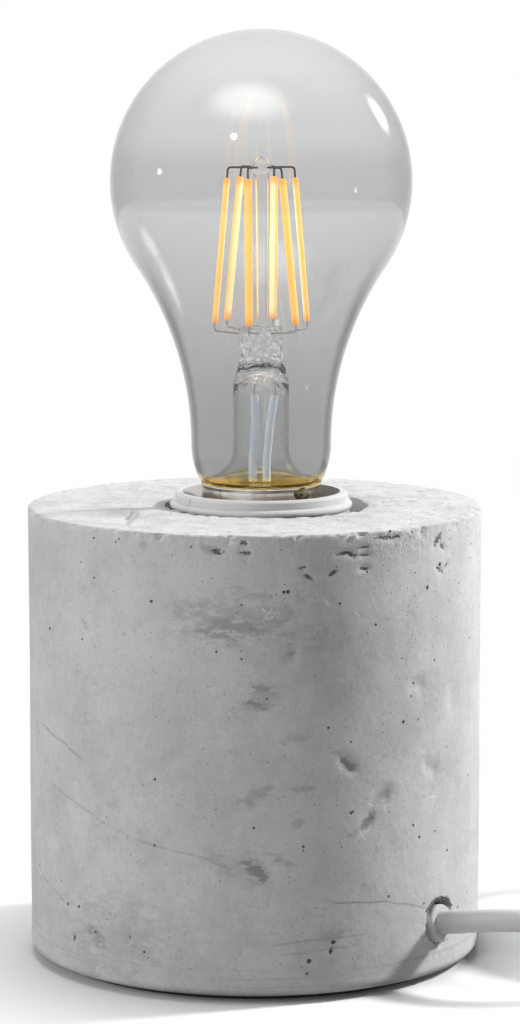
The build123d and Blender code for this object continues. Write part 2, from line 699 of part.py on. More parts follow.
def cap_solder():
    angle = math.radians(SOLDER_AZIMUTH)
    place = (CAP_DIAMETER / 2 * math.sin(angle), -CAP_DIAMETER / 2 * math.cos(angle))
    blob = Pos(*place, CAP_RIM - SOLDER_DIAMETER / 2) * Sphere(SOLDER_DIAMETER / 2)
    return blob - disc(CAP_DIAMETER + 2 * SCREW_FIT, CAP_FOOT, CAP_RIM + SOLDER_DIAMETER)


def driver_board():
    board = disc(BOARD_DIAMETER, BOARD_TOP - BOARD_THICKNESS, BOARD_TOP)
    for lead in (LEFT_LEAD, RIGHT_LEAD):
        place = lead[-1][0]
        board -= Pos(place, 0, 0) * disc(WIRE_DIAMETER + 2 * WIRE_FIT, BOARD_TOP - BOARD_THICKNESS, BOARD_TOP)
    return board


def driver_parts():
    low = BOARD_TOP - BOARD_THICKNESS
    inset = BOARD_DIAMETER / 5
    capacitor = Pos(inset, inset, low - CAPACITOR_HEIGHT) * Cylinder(
        CAPACITOR_DIAMETER / 2, CAPACITOR_HEIGHT, align=UPRIGHT)
    choke = Pos(-inset, inset, low - COIL_CHIP[2]) * Box(*COIL_CHIP, align=UPRIGHT)
    chip = Pos(-inset, -inset, low - DRIVER_CHIP[2]) * Box(*DRIVER_CHIP, align=UPRIGHT)
    return [capacitor, choke, chip]


on_holder_axis["cap_shell"] = cap_shell()
on_holder_axis["cap_insulator"] = cap_insulator()
on_holder_axis["cap_tip"] = cap_tip()
on_holder_axis["cap_cement"] = cap_cement()
on_holder_axis["cap_solder"] = cap_solder()
on_holder_axis["driver_board"] = driver_board()
on_holder_axis["driver_parts"] = driver_parts()


# Glass: a round bulb that runs through a hollow shoulder into a neck drawn in at its foot
def bulb_solid(inset):
    """Turned bulb, smaller all round by an inset."""
    ball = BULB_DIAMETER / 2 - inset
    neck = NECK_DIAMETER / 2 - inset
    foot = NECK_FOOT_DIAMETER / 2 - inset
    side = NECK_DIAMETER / 2 + SHOULDER_RADIUS
    reach = BULB_DIAMETER / 2 + SHOULDER_RADIUS
    drop = math.sqrt(reach**2 - side**2)
    neck_height = BULB_CENTRE - drop
    meet = (side * ball / reach, BULB_CENTRE - drop * ball / reach)
    crown = (0, BULB_CENTRE + ball)
    foot_curve = TangentArc((neck, neck_height), (foot, GLASS_FOOT), tangent=(0, -1))
    shoulder_curve = TangentArc((neck, neck_height), meet, tangent=(0, 1))
    ball_curve = ThreePointArc(meet, (ball, BULB_CENTRE), crown)
    middle = Polyline(crown, (0, GLASS_FOOT), (foot, GLASS_FOOT))
    return turned(foot_curve, shoulder_curve, ball_curve, middle)


def stem_tube():
    """Flare fused round the foot of the neck, a straight tube and the flat press at its top."""
    flare = FOOT_WALL_DIAMETER / 2 - FLARE_GAP
    outer = STEM_DIAMETER / 2
    inner = outer - STEM_WALL
    tube_low = GLASS_FOOT + FLARE_HEIGHT
    tube_high = CAP_RIM + STEM_TUBE_RISE
    outside = TangentArc((outer, tube_low), (flare, GLASS_FOOT + STEM_WALL), tangent=(0, -1))
    inside = TangentArc((inner, tube_low), (flare, GLASS_FOOT), tangent=(0, -1))
    wall = Polyline((inner, tube_low), (inner, tube_high), (outer, tube_high), (outer, tube_low))
    edge = Line((flare, GLASS_FOOT), (flare, GLASS_FOOT + STEM_WALL))
    stem = turned(outside, wall, inside, edge)
    press = RectangleRounded(PRESS_WIDTH, PRESS_THICKNESS, PRESS_CORNER_RADIUS)
    press_low = CAP_RIM + PRESS_LOW
    stem += loft([Pos(0, 0, tube_high) * Circle(outer), Pos(0, 0, press_low) * press])
    return stem + Pos(0, 0, press_low) * extrude(press, PRESS_HIGH - PRESS_LOW)


def support_rod():
    low = CAP_RIM + PRESS_HIGH
    high = CAP_RIM + BEAD_RISE
    bead = Pos(0, 0, high) * Sphere(BEAD_DIAMETER / 2)
    return disc(ROD_DIAMETER, low, high) + bead


on_holder_axis["bulb_glass"] = bulb_solid(0) - bulb_solid(GLASS_WALL)
on_holder_axis["stem_tube"] = stem_tube()
on_holder_axis["support_rod"] = support_rod()


# Six filaments leaning in to the top of the rod with a slight twist, and a support wire at each end
def spoke(index, twist=0):
    """Outward direction of one filament, turned on by a twist."""
    angle = math.radians(FILAMENT_TURN + twist + index * 360 / FILAMENT_COUNT)
    return Vector(math.sin(angle), -math.cos(angle), 0)


def filament_ends(index):
    foot = spoke(index, FILAMENT_TWIST) * FILAMENT_FOOT_RADIUS + (0, 0, CAP_RIM + FILAMENT_FOOT_RISE)
    top = spoke(index) * FILAMENT_TOP_RADIUS + (0, 0, CAP_RIM + FILAMENT_TOP_RISE)
    return foot, top


def top_wire(index):
    foot, top = filament_ends(index)
    lean = (top - foot).normalized()
    bend = top + lean * (BEAD_RISE - FILAMENT_TOP_RISE)
    inner = spoke(index) * (BEAD_DIAMETER / 2 + WIRE_FIT) + (0, 0, bend.Z)
    return wire([inner, bend, top], WIRE_DIAMETER, WIRE_BEND)


def bottom_wire(index):
    foot, top = filament_ends(index)
    lean = (top - foot).normalized()
    bend = foot - lean * WIRE_STUB
    direction = spoke(index, FILAMENT_TWIST)
    edge = 0.5 / max(abs(direction.X) / PRESS_WIDTH, abs(direction.Y) / PRESS_THICKNESS)
    inner = direction * (edge + WIRE_DIAMETER / 2) + (0, 0, CAP_RIM + PRESS_HIGH - WIRE_STUB)
    return wire([inner, bend, foot], WIRE_DIAMETER, WIRE_BEND)


def lead_points(lead):
    return [Vector(x, 0, CAP_RIM + rise) for x, rise in lead]


def lead_wire(lead):
    """Bare wire from the press down its sleeve to the driver board."""
    points = lead_points(lead)
    top = Vector(points[0].X, 0, CAP_RIM + STEM_TUBE_RISE - WIRE_FIT)
    end = Vector(points[-1].X, 0, BOARD_TOP - BOARD_THICKNESS)
    return wire([top, points[0], points[1], points[2], end], WIRE_DIAMETER, SLEEVE_DIAMETER)


def wire_sleeve(lead):
    points = lead_points(lead)
    high = points[0] + (points[1] - points[0]) * SLEEVE_BARE_SHARE
    low = points[2] - (0, 0, SLEEVE_FOOT_DROP + points[2].Z - CAP_RIM)
    path = FilletPolyline(high, points[1], points[2], low, radius=SLEEVE_DIAMETER)
    bore = WIRE_DIAMETER / 2 + WIRE_FIT
    section = Circle(SLEEVE_DIAMETER / 2) - Circle(bore)
    return sweep(facing(path @ 0, path % 0) * section, path=path)


LEADS = [LEFT_LEAD, RIGHT_LEAD]
FILAMENTS = range(FILAMENT_COUNT)
for number in FILAMENTS:
    on_holder_axis[f"filament_{number + 1}"] = rod_between(*filament_ends(number), FILAMENT_DIAMETER)
on_holder_axis["top_wires"] = [top_wire(number) for number in FILAMENTS]
on_holder_axis["bottom_wires"] = [bottom_wire(number) for number in FILAMENTS]
on_holder_axis["lead_wires"] = [lead_wire(lead) for lead in LEADS]
on_holder_axis["wire_sleeves"] = [wire_sleeve(lead) for lead in LEADS]

# The tube, the lampholder and the bulb take their place on the holder's axis
for name, shape in on_holder_axis.items():
    moved = [HOLDER_AXIS * solid for solid in shape] if isinstance(shape, list) else HOLDER_AXIS * shape
    parts[name] = moved


# The coil: two layers to each length of cord, spiralling in, climbing a layer, and spiralling out
class Coil:
    """One length of cord wound in and out again, from a start angle and a layer."""

    def __init__(self, start_angle, turns, layer):
        self.start_angle = start_angle
        self.turns = turns
        self.floor = COIL_FLOOR + CORD_DIAMETER / 2 + layer * COIL_PITCH
        self.inner_radius = COIL_OUTER_RADIUS - COIL_PITCH * turns / 2

    def point(self, turn):
        past = turn - self.turns / 2
        away = abs(past)
        share = (past + CLIMB_TURN) / (2 * CLIMB_TURN)
        if away < CLIMB_TURN:
            away = past**2 / (2 * CLIMB_TURN) + CLIMB_TURN / 2
        radius = self.inner_radius + COIL_PITCH * away
        climb = (1 - math.cos(math.pi * min(max(share, 0), 1))) / 2
        angle = math.radians(self.start_angle) + 2 * math.pi * turn
        x = COIL_CENTRE[0] + radius * math.cos(angle)
        y = COIL_CENTRE[1] + radius * math.sin(angle)
        return Vector(x, y, self.floor + COIL_PITCH * climb)

    def heading(self, turn):
        step = 0.001
        return (self.point(turn + step) - self.point(turn - step)).normalized()

    def start(self):
        """Where the straight end of the cord begins."""
        return self.point(0) - self.heading(0) * CORD_DIAMETER

    def end(self):
        return self.point(self.turns) + self.heading(self.turns) * CORD_DIAMETER

    def knots(self):
        """Turn counts about a quarter turn apart, with the climb between its own three."""
        flat = self.turns / 2 - CLIMB_TURN
        steps = math.ceil(flat / KNOT_TURN)
        inward = [flat * step / steps for step in range(steps + 1)]
        outward = [self.turns - turn for turn in reversed(inward)]
        return inward + [self.turns / 2] + outward

    def path(self):
        edges = [Line(self.start(), self.point(0))]
        knots = self.knots()
        for here, there in zip(knots, knots[1:]):
            edges += biarc(self.point(here), self.heading(here), self.point(there), self.heading(there))
        edges.append(Line(self.point(self.turns), self.end()))
        return Wire(edges)

    def solid(self):
        path = self.path()
        return sweep(facing(self.start(), self.heading(0)) * Circle(CORD_DIAMETER / 2), path=path)


def biarc(start, leaving, end, arriving):
    """Two tangent arcs from one point and direction to another."""
    chord = end - start
    along = chord.dot(leaving + arriving)
    spread = 2 * (1 - leaving.dot(arriving))
    reach = (math.sqrt(along**2 + spread * chord.dot(chord)) - along) / spread
    first = start + leaving * reach
    second = end - arriving * reach
    middle = (first + second) / 2
    return [
        Edge.make_tangent_arc(start, leaving, middle),
        Edge.make_tangent_arc(middle, second - first, end),
    ]


def least_gap(coils):
    """Least clear distance between turns, measured on points along the cord."""
    step = 0.02
    next_turn = 0.5
    points = []
    for place, coil in enumerate(coils):
        for count in range(int(coil.turns / step) + 1):
            points.append((place, count * step, coil.point(count * step)))
    least = COIL_OUTER_RADIUS
    for index, (place, turn, point) in enumerate(points):
        for other_place, other_turn, other in points[index + 1:]:
            if place != other_place or other_turn - turn > next_turn:
                least = min(least, (other - point).length)
    return least - CORD_DIAMETER


def coil_tie():
    """Flat strap round the stack of turns."""
    inner = COIL_OUTER_RADIUS - COIL_PITCH * LOWER_TURNS / 2 - CORD_DIAMETER / 2 - TIE_SIDE_GAP
    outer = COIL_OUTER_RADIUS + CORD_DIAMETER / 2 + TIE_SIDE_GAP
    low = COIL_FLOOR - TIE_GAP
    high = COIL_TOP + TIE_GAP
    centre = Pos((inner + outer) / 2, (low + high) / 2)
    width = outer - inner
    height = high - low
    inside = RectangleRounded(width, height, TIE_CORNER_RADIUS)
    growth = 2 * TIE_THICKNESS
    outside = RectangleRounded(width + growth, height + growth, TIE_CORNER_RADIUS + TIE_THICKNESS)
    strap = extrude(Plane.XZ * centre * (outside - inside), TIE_WIDTH / 2, both=True)
    return Pos(*COIL_CENTRE, 0) * Rot(0, 0, TIE_ANGLE) * strap


LOWER_COIL = Coil(LOWER_START_ANGLE, LOWER_TURNS, 0)
UPPER_COIL = Coil(UPPER_START_ANGLE, UPPER_TURNS, 2)
SWITCH_FRONT = SWITCH_CENTRE[1] - SWITCH_LENGTH / 2
SWITCH_BACK = SWITCH_CENTRE[1] + SWITCH_LENGTH / 2


def before(coil):
    """The last run of a lead into a coil."""
    return [coil.start() - coil.heading(0) * END_RUN, coil.start()]


def after(coil):
    """The first run of a lead out of a coil."""
    return [coil.end(), coil.end() + coil.heading(coil.turns) * END_RUN]


def switch_point(y):
    return (SWITCH_CENTRE[0], y, SWITCH_SEAM)


lamp_end = [on_exit(EXIT_FACE), on_exit(EXIT_FACE + END_RUN)]
front_end = [switch_point(SWITCH_FRONT - END_RUN), switch_point(SWITCH_FRONT + SWITCH_CORD_DEPTH)]
back_end = [switch_point(SWITCH_BACK - SWITCH_CORD_DEPTH), switch_point(SWITCH_BACK + END_RUN)]
plug_end = [
    (PLUG_PLACE[0], PLUG_PLACE[1] + RELIEF_LENGTH + END_RUN, PLUG_AXIS),
    (PLUG_PLACE[0], PLUG_PLACE[1], PLUG_AXIS),
]
parts["lamp_lead"] = tube("lamp_lead", lamp_end + LAMP_LEAD + before(LOWER_COIL), CORD_DIAMETER)
parts["lower_coil"] = LOWER_COIL.solid()
parts["switch_lead"] = tube("switch_lead", after(LOWER_COIL) + SWITCH_LEAD + front_end, CORD_DIAMETER)
parts["coil_lead"] = tube("coil_lead", back_end + COIL_LEAD + before(UPPER_COIL), CORD_DIAMETER)
parts["upper_coil"] = UPPER_COIL.solid()
parts["plug_lead"] = tube("plug_lead", after(UPPER_COIL) + PLUG_LEAD + plug_end, CORD_DIAMETER)
parts["coil_tie"] = coil_tie()
for title, coil in (("lower_coil", LOWER_COIL), ("upper_coil", UPPER_COIL)):
    length = coil.path().length
    ratio = parts[title].volume / (math.pi * CORD_DIAMETER**2 / 4 * length)
    print(title, "length %.1f" % length, "volume ratio %.4f" % ratio)
print("least gap between turns %.2f" % least_gap([LOWER_COIL, UPPER_COIL]))

# In-line switch, modelled along X and turned to lie along Y
SWITCH_PLACE = Pos(*SWITCH_CENTRE, 0) * Rot(0, 0, 90)
ROCKER_TILT = ROCKER_SWING / 2
WINDOW_LENGTH = 2 * (ROCKER_LENGTH_RADIUS + ROCKER_GAP)
WINDOW_WIDTH = ROCKER_WIDTH + 2 * ROCKER_GAP
PIN_LENGTH = WINDOW_WIDTH + 2 * LUG_THICKNESS
BOSS_PLACES = [SWITCH_BOSS_PLACE, (-SWITCH_BOSS_PLACE[0], -SWITCH_BOSS_PLACE[1])]


def switch_block(inset):
    """Barrel-shaped block of the whole switch, smaller all round by an inset."""
    end = SWITCH_LENGTH / 2 - inset
    middle = SWITCH_WIDTH / 2 - inset
    narrow = SWITCH_END_WIDTH / 2 - inset
    outline = make_face([
        ThreePointArc((-end, narrow), (0, middle), (end, narrow)),
        Line((end, narrow), (end, -narrow)),
        ThreePointArc((end, -narrow), (0, -middle), (-end, -narrow)),
        Line((-end, -narrow), (-end, narrow)),
    ])
    return Pos(0, 0, inset) * extrude(outline, SWITCH_HEIGHT - 2 * inset)


def seam_half(low, high):
    """Slab that keeps the part of the switch between two heights."""
    return Pos(0, 0, low) * Box(2 * SWITCH_LENGTH, 2 * SWITCH_WIDTH, high - low, align=UPRIGHT)


def switch_case():
    """Both shells as one hollow case, with bosses, rocker window and cord holes."""
    case = switch_block(0)
    case = fillet(case.edges().group_by(Axis.Z)[-1], SWITCH_EDGE_RADIUS)
    case = fillet(case.edges().group_by(Axis.Z)[0], SWITCH_EDGE_RADIUS)
    room = switch_block(SWITCH_WALL)
    for place in BOSS_PLACES:
        room -= Pos(*place, 0) * Cylinder(SWITCH_BOSS_DIAMETER / 2, SWITCH_HEIGHT, align=UPRIGHT)
    case -= room
    roof = SWITCH_HEIGHT - SWITCH_WALL
    lug_low = PIVOT_HEIGHT - LUG_DEPTH
    for side in (-1, 1):
        lug_place = side * (WINDOW_WIDTH + LUG_THICKNESS) / 2
        case += Pos(0, lug_place, lug_low) * Box(LUG_LENGTH, LUG_THICKNESS, roof - lug_low, align=UPRIGHT)
    case -= Pos(0, 0, roof) * Box(WINDOW_LENGTH, WINDOW_WIDTH, SWITCH_WALL, align=UPRIGHT)
    case -= Pos(0, 0, PIVOT_HEIGHT) * Rot(90, 0, 0) * Cylinder(PIN_DIAMETER / 2 + SCREW_FIT, PIN_LENGTH)
    cord_hole = Cylinder(CORD_DIAMETER / 2 + CORD_FIT, SWITCH_LENGTH)
    return case - Pos(0, 0, SWITCH_SEAM) * Rot(0, 90, 0) * cord_hole


def switch_screw(place):
    """Screw from below through the lower shell into the upper shell's boss."""
    low = SWITCH_HEAD_SINK
    head = Pos(*place, low) * Cylinder(SWITCH_HEAD_DIAMETER / 2, SWITCH_HEAD_HEIGHT, align=UPRIGHT)
    shank = Cylinder(SWITCH_SCREW_DIAMETER / 2, SWITCH_SCREW_LENGTH, align=UPRIGHT)
    return head + Pos(*place, low + SWITCH_HEAD_HEIGHT) * shank


def screw_hole(place):
    head_radius = SWITCH_HEAD_DIAMETER / 2 + SCREW_FIT
    high = SWITCH_HEAD_SINK + SWITCH_HEAD_HEIGHT
    head = Pos(*place, 0) * Cylinder(head_radius, high, align=UPRIGHT)
    shank = Cylinder(SWITCH_SCREW_DIAMETER / 2 + SCREW_FIT, SWITCH_SCREW_LENGTH, align=UPRIGHT)
    return head + Pos(*place, high) * shank


def switch_rocker():
    """Dished rocker whose ends are round about its pin, shown tilted to one side."""
    reach = ROCKER_LENGTH_RADIUS
    corner = (math.sqrt(reach**2 - ROCKER_CORNER**2), ROCKER_CORNER)
    low = (math.sqrt(reach**2 - ROCKER_UNDERSIDE**2), ROCKER_UNDERSIDE)
    middle = ((corner[0] + low[0]) / 2, (corner[1] + low[1]) / 2)
    scale = reach / math.hypot(*middle)
    bulge = (middle[0] * scale, middle[1] * scale)
    outline = make_face([
        ThreePointArc((-corner[0], corner[1]), (0, corner[1] - ROCKER_DISH), corner),
        ThreePointArc(corner, bulge, low),
        Line(low, (-low[0], low[1])),
        ThreePointArc((-low[0], low[1]), (-bulge[0], bulge[1]), (-corner[0], corner[1])),
    ])
    rocker = extrude(Plane.XZ * outline, ROCKER_WIDTH / 2, both=True)
    rocker += Rot(90, 0, 0) * Cylinder(ROCKER_HUB_DIAMETER / 2, ROCKER_WIDTH)
    rocker -= Rot(90, 0, 0) * Cylinder(PIN_DIAMETER / 2 + PIN_FIT, ROCKER_WIDTH)
    return Pos(0, 0, PIVOT_HEIGHT) * Rot(0, ROCKER_TILT, 0) * rocker


def switch_contact(side):
    """Brass strip along the floor with a post at its outer end for the core."""
    length = CONTACT_OUTER - CONTACT_INNER
    strip = Pos(side * (CONTACT_INNER + length / 2), 0, SWITCH_WALL) * Box(
        length, CONTACT_WIDTH, CONTACT_THICKNESS, align=UPRIGHT)
    post = Pos(side * (CONTACT_OUTER - CONTACT_POST / 2), 0, SWITCH_WALL) * Box(
        CONTACT_POST, CONTACT_WIDTH, CONTACT_POST, align=UPRIGHT)
    return strip + post


whole_case = switch_case()
for boss in BOSS_PLACES:
    whole_case -= screw_hole(boss)
lower_shell = whole_case & seam_half(0, SWITCH_SEAM)
upper_shell = whole_case & seam_half(SWITCH_SEAM, SWITCH_HEIGHT)
pin = Pos(0, 0, PIVOT_HEIGHT) * Rot(90, 0, 0) * Cylinder(PIN_DIAMETER / 2, PIN_LENGTH)
parts["switch_lower_shell"] = SWITCH_PLACE * lower_shell
parts["switch_upper_shell"] = SWITCH_PLACE * upper_shell
parts["switch_rocker"] = SWITCH_PLACE * switch_rocker()
parts["rocker_pin"] = SWITCH_PLACE * pin
parts["switch_contacts"] = [SWITCH_PLACE * switch_contact(side) for side in (-1, 1)]
parts["switch_screws"] = [SWITCH_PLACE * switch_screw(place) for place in BOSS_PLACES]

# Plug, modelled with its pins along +X and laid on the coil with the pins to the front
PLUG_FRAME = Pos(*PLUG_PLACE, PLUG_AXIS) * Rot(0, 0, -90)
PIN_SIDES = [-PLUG_PIN_SPACING / 2, PLUG_PIN_SPACING / 2]


def plug_section(scale):
    """Flat six-sided outline of the plug with rounded corners."""
    wide = PLUG_WIDTH / 2 * scale
    flat = PLUG_FLAT_WIDTH / 2 * scale
    thick = PLUG_THICKNESS / 2 * scale
    outline = FilletPolyline(
        (wide, 0), (flat, thick), (-flat, thick), (-wide, 0), (-flat, -thick), (flat, -thick),
        radius=PLUG_CORNER_RADIUS * scale, close=True)
    return make_face(outline)


def plug_plane(x):
    """Plane across the plug at a distance from the back of its body."""
    return Plane(origin=(x, 0, 0), x_dir=(0, 1, 0), z_dir=(1, 0, 0))


def plug_body():
    front = plug_plane(PLUG_TAPER_START) * extrude(plug_section(1), PLUG_LENGTH - PLUG_TAPER_START)
    tail = loft([
        plug_plane(0) * plug_section(PLUG_TAIL_SCALE),
        plug_plane(PLUG_TAPER_START) * plug_section(1),
    ])
    body = front + tail
    for side in PIN_SIDES:
        hole = Cylinder(PIN_CORE_DIAMETER / 2 + SCREW_FIT, PIN_ROOT, align=UPRIGHT)
        body -= plug_plane(PLUG_LENGTH - PIN_ROOT) * Pos(side, 0, 0) * hole
    return body


def plug_pin(side):
    """Pin with a thinner core inside its sleeve and a rounded tip."""
    core_length = PIN_ROOT + SLEEVED_LENGTH
    shank = Cylinder(PIN_CORE_DIAMETER / 2, core_length, align=UPRIGHT)
    tip = Cylinder(PLUG_PIN_DIAMETER / 2, PLUG_PIN_LENGTH - SLEEVED_LENGTH, align=UPRIGHT)
    tip = fillet(tip.edges().group_by(Axis.Z)[-1], PIN_TIP_RADIUS)
    pin = shank + Pos(0, 0, core_length) * tip
    return plug_plane(PLUG_LENGTH - PIN_ROOT) * Pos(side, 0, 0) * pin


def pin_sleeve(side):
    sleeve = Cylinder(PIN_SLEEVE_DIAMETER / 2, SLEEVED_LENGTH, align=UPRIGHT)
    sleeve -= Cylinder(PIN_CORE_DIAMETER / 2 + SCREW_FIT, SLEEVED_LENGTH, align=UPRIGHT)
    return plug_plane(PLUG_LENGTH) * Pos(side, 0, 0) * sleeve


def plug_relief():
    """Tapered strain relief with flexing grooves, over the end of the cord."""
    relief = Cone(RELIEF_ROOT_DIAMETER / 2, RELIEF_TIP_DIAMETER / 2, RELIEF_LENGTH, align=UPRIGHT)
    spacing = RELIEF_LENGTH / (RELIEF_GROOVES + 1)
    for number in range(RELIEF_GROOVES):
        height = spacing * (number + 1)
        share = height / RELIEF_LENGTH
        taper = RELIEF_ROOT_DIAMETER + (RELIEF_TIP_DIAMETER - RELIEF_ROOT_DIAMETER) * share
        groove = Cylinder(RELIEF_ROOT_DIAMETER, RELIEF_GROOVE_WIDTH)
        groove -= Cylinder(taper / 2 - RELIEF_GROOVE_DEPTH, RELIEF_GROOVE_WIDTH)
        relief -= Pos(0, 0, height) * groove
    relief -= Cylinder(CORD_DIAMETER / 2 + CORD_FIT, RELIEF_LENGTH, align=UPRIGHT)
    return facing((0, 0, 0), (-1, 0, 0)) * relief


parts["plug_body"] = PLUG_FRAME * plug_body()
parts["plug_pins"] = [PLUG_FRAME * plug_pin(side) for side in PIN_SIDES]
parts["pin_sleeves"] = [PLUG_FRAME * pin_sleeve(side) for side in PIN_SIDES]
parts["plug_relief"] = PLUG_FRAME * plug_relief()

os.makedirs("parts", exist_ok=True)
for name, shape in parts.items():
    solid = Compound(shape) if isinstance(shape, list) else shape
    export_step(solid, f"parts/{name}.step")
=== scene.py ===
import bmesh
import bpy
from math import asin, atan2, copysign, cos, degrees, dist, exp, hypot, pi, radians, sin, sqrt, tan, tau
from mathutils import Euler, Matrix, Vector, noise


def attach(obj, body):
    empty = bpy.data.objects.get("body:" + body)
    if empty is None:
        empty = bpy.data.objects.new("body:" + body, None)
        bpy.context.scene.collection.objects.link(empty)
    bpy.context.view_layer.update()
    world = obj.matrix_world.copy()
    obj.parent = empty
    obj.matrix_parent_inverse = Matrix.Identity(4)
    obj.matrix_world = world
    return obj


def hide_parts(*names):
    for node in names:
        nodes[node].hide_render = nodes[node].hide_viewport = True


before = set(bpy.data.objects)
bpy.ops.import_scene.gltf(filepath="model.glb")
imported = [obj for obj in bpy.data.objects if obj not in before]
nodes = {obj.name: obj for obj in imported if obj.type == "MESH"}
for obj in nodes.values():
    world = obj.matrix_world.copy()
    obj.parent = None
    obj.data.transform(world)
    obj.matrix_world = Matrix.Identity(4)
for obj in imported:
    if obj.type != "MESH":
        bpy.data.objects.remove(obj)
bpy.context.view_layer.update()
scene = bpy.context.scene

# Shared tools. Lengths of the lamp are in millimetres, and become metres where a mesh or a curve is made.
# A material is written as sums of shades, and a round piece is turned from its outline.
MM = 0.001
UP = Vector((0, 0, 1))
HOLDER_AXIS = Vector((1.4, 0, 0))


class Shade:
    """One value in a tree of nodes, with arithmetic that adds the nodes it needs."""

    def __init__(self, owner, socket):
        self.owner = owner
        self.socket = socket

    def maths(self, operation, first, second):
        return self.owner.node("ShaderNodeMath", {"operation": operation}, {0: first, 1: second})

    def __add__(self, other):
        return self.maths("ADD", self, other)

    def __sub__(self, other):
        return self.maths("SUBTRACT", self, other)

    def __rsub__(self, other):
        return self.maths("SUBTRACT", other, self)

    def __mul__(self, other):
        return self.maths("MULTIPLY", self, other)

    def __abs__(self):
        return self.maths("ABSOLUTE", self, 0)

    __radd__ = __add__
    __rmul__ = __mul__


class Nodes:
    """A tree of nodes that takes plain values and shades alike."""

    def __init__(self, tree):
        self.tree = tree

    def node(self, kind, settings, sockets, out=0):
        made = self.tree.nodes.new(kind)
        for setting, value in settings.items():
            setattr(made, setting, value)
        for socket, value in sockets.items():
            self.join(made.inputs[socket], value)
        return Shade(self, made.outputs[out])

    def join(self, socket, value):
        if isinstance(value, Shade):
            self.tree.links.new(value.socket, socket)
        else:
            socket.default_value = value

    def light(self, *ways):
        """1 for light that came by one of some ways and 0 for the rest."""
        path = self.tree.nodes.new("ShaderNodeLightPath").outputs
        total = sum(Shade(self, path[way]) for way in ways)
        return self.node("ShaderNodeMath", {"operation": "MINIMUM"}, {0: total, 1: 1.0})


class Paint(Nodes):
    """A material made of nodes round one surface shader."""

    def __init__(self, name, **constants):
        self.material = bpy.data.materials.new(name)
        self.material.use_nodes = True
        super().__init__(self.material.node_tree)
        self.surface = self.tree.nodes["Principled BSDF"]
        self.spot = self.place()
        self.feed(**constants)

    def feed(self, **sockets):
        for socket, value in sockets.items():
            self.join(self.surface.inputs[socket.replace("_", " ")], value)

    def place(self, turn=(0, 0, 0), scale=(1, 1, 1)):
        """Where a point lies on the piece, in millimetres, turned or stretched for a pattern."""
        spot = self.node("ShaderNodeTexCoord", {}, {}, "Object")
        size = [1000 * share for share in scale]
        return self.node("ShaderNodeMapping", {}, {"Vector": spot, "Rotation": turn, "Scale": size})

    def axis(self, index, vector=None):
        return self.node("ShaderNodeSeparateXYZ", {}, {0: vector or self.spot}, index)

    def measure(self, operation, *vectors):
        """A number worked out from one or two vectors, such as the distance between them."""
        return self.node("ShaderNodeVectorMath", {"operation": operation}, dict(enumerate(vectors)), "Value")

    def cloud(self, size, detail=4, roughness=0.55, warp=0, **pattern):
        """Soft noise from 0 to 1 with patches up to a size, which a pattern may turn or stretch."""
        return self.node("ShaderNodeTexNoise", {}, {
            "Vector": self.place(**pattern) if pattern else self.spot, "Scale": 1 / size, "Detail": detail,
            "Roughness": roughness, "Distortion": warp})

    def cells(self, size, out):
        return self.node("ShaderNodeTexVoronoi", {}, {"Vector": self.spot, "Scale": 1 / size}, out)

    def wave(self, direction, scale, warp):
        """Even bands across a direction."""
        return self.node("ShaderNodeTexWave", {"bands_direction": direction}, {
            "Vector": self.spot, "Scale": scale, "Distortion": warp}, "Fac")

    def ease(self, value, low, high):
        """Smooth step from 0 at one value to 1 at another."""
        smooth = {"interpolation_type": "SMOOTHSTEP"}
        return self.node("ShaderNodeMapRange", smooth, {0: value, 1: low, 2: high})

    def mix(self, share, first, second):
        settings = {"data_type": "RGBA", "clamp_factor": True}
        return self.node("ShaderNodeMix", settings, {0: share, 6: first, 7: second}, 2)

    def bump(self, height, depth, under=None):
        """Surface relief, with the depth in millimetres for a height from 0 to 1."""
        sockets = {"Height": height, "Distance": depth * MM, "Strength": 1.0}
        if under:
            sockets["Normal"] = under
        return self.node("ShaderNodeBump", {}, sockets)

    def show(self, shader):
        """Show another shader in place of the surface."""
        self.join(self.tree.nodes["Material Output"].inputs["Surface"], shader)


def grey(level, warmth=0.0):
    """A near neutral colour, a little warm above 0 and a little cool below."""
    return (level * (1 + warmth), level, level * (1 - warmth), 1)


def mottled(name, patch, dark, light, rough, relief=0.0, **constants):
    """Paint of two tones in soft patches, with the least roughness and its rise where the paint is light."""
    paint = Paint(name, **constants)
    patches = paint.cloud(*patch)
    least, rise = rough
    paint.feed(Base_Color=paint.mix(patches, dark, light), Roughness=patches * rise + least)
    if relief:
        paint.feed(Normal=paint.bump(patches, relief))
    return paint


def finish(piece, paint):
    piece.data.materials.clear()
    piece.data.materials.append(paint.material)


def dress(paint, *names):
    """Finish pieces that keep the part's own mesh."""
    for name in names:
        finish(nodes[name], paint)


def placed(name, data):
    """New object in the scene for a mesh, a curve, a light or a camera."""
    piece = bpy.data.objects.new(name, data)
    scene.collection.objects.link(piece)
    return piece


def meshed(name, grid, sharp=180):
    """Object with a smooth mesh whose edges are sharp above an angle in degrees."""
    mesh = bpy.data.meshes.new(name)
    grid.to_mesh(mesh)
    grid.free()
    mesh.shade_smooth()
    if sharp < 180:
        mesh.set_sharp_from_angle(angle=radians(sharp))
    return placed(name, mesh)


def arc(centre, radius, start, end, steps):
    """Points of an arc in radius and height, from one angle to another in degrees."""
    points = []
    for step in range(steps + 1):
        angle = radians(start + (end - start) * step / steps)
        points.append((centre[0] + radius * cos(angle), centre[1] + radius * sin(angle)))
    return points


def run(start, end, step):
    """Evenly spaced points of a straight run, without its last."""
    count = max(1, round(dist(start, end) / step))
    return [(start[0] + (end[0] - start[0]) * i / count, start[1] + (end[1] - start[1]) * i / count)
            for i in range(count)]


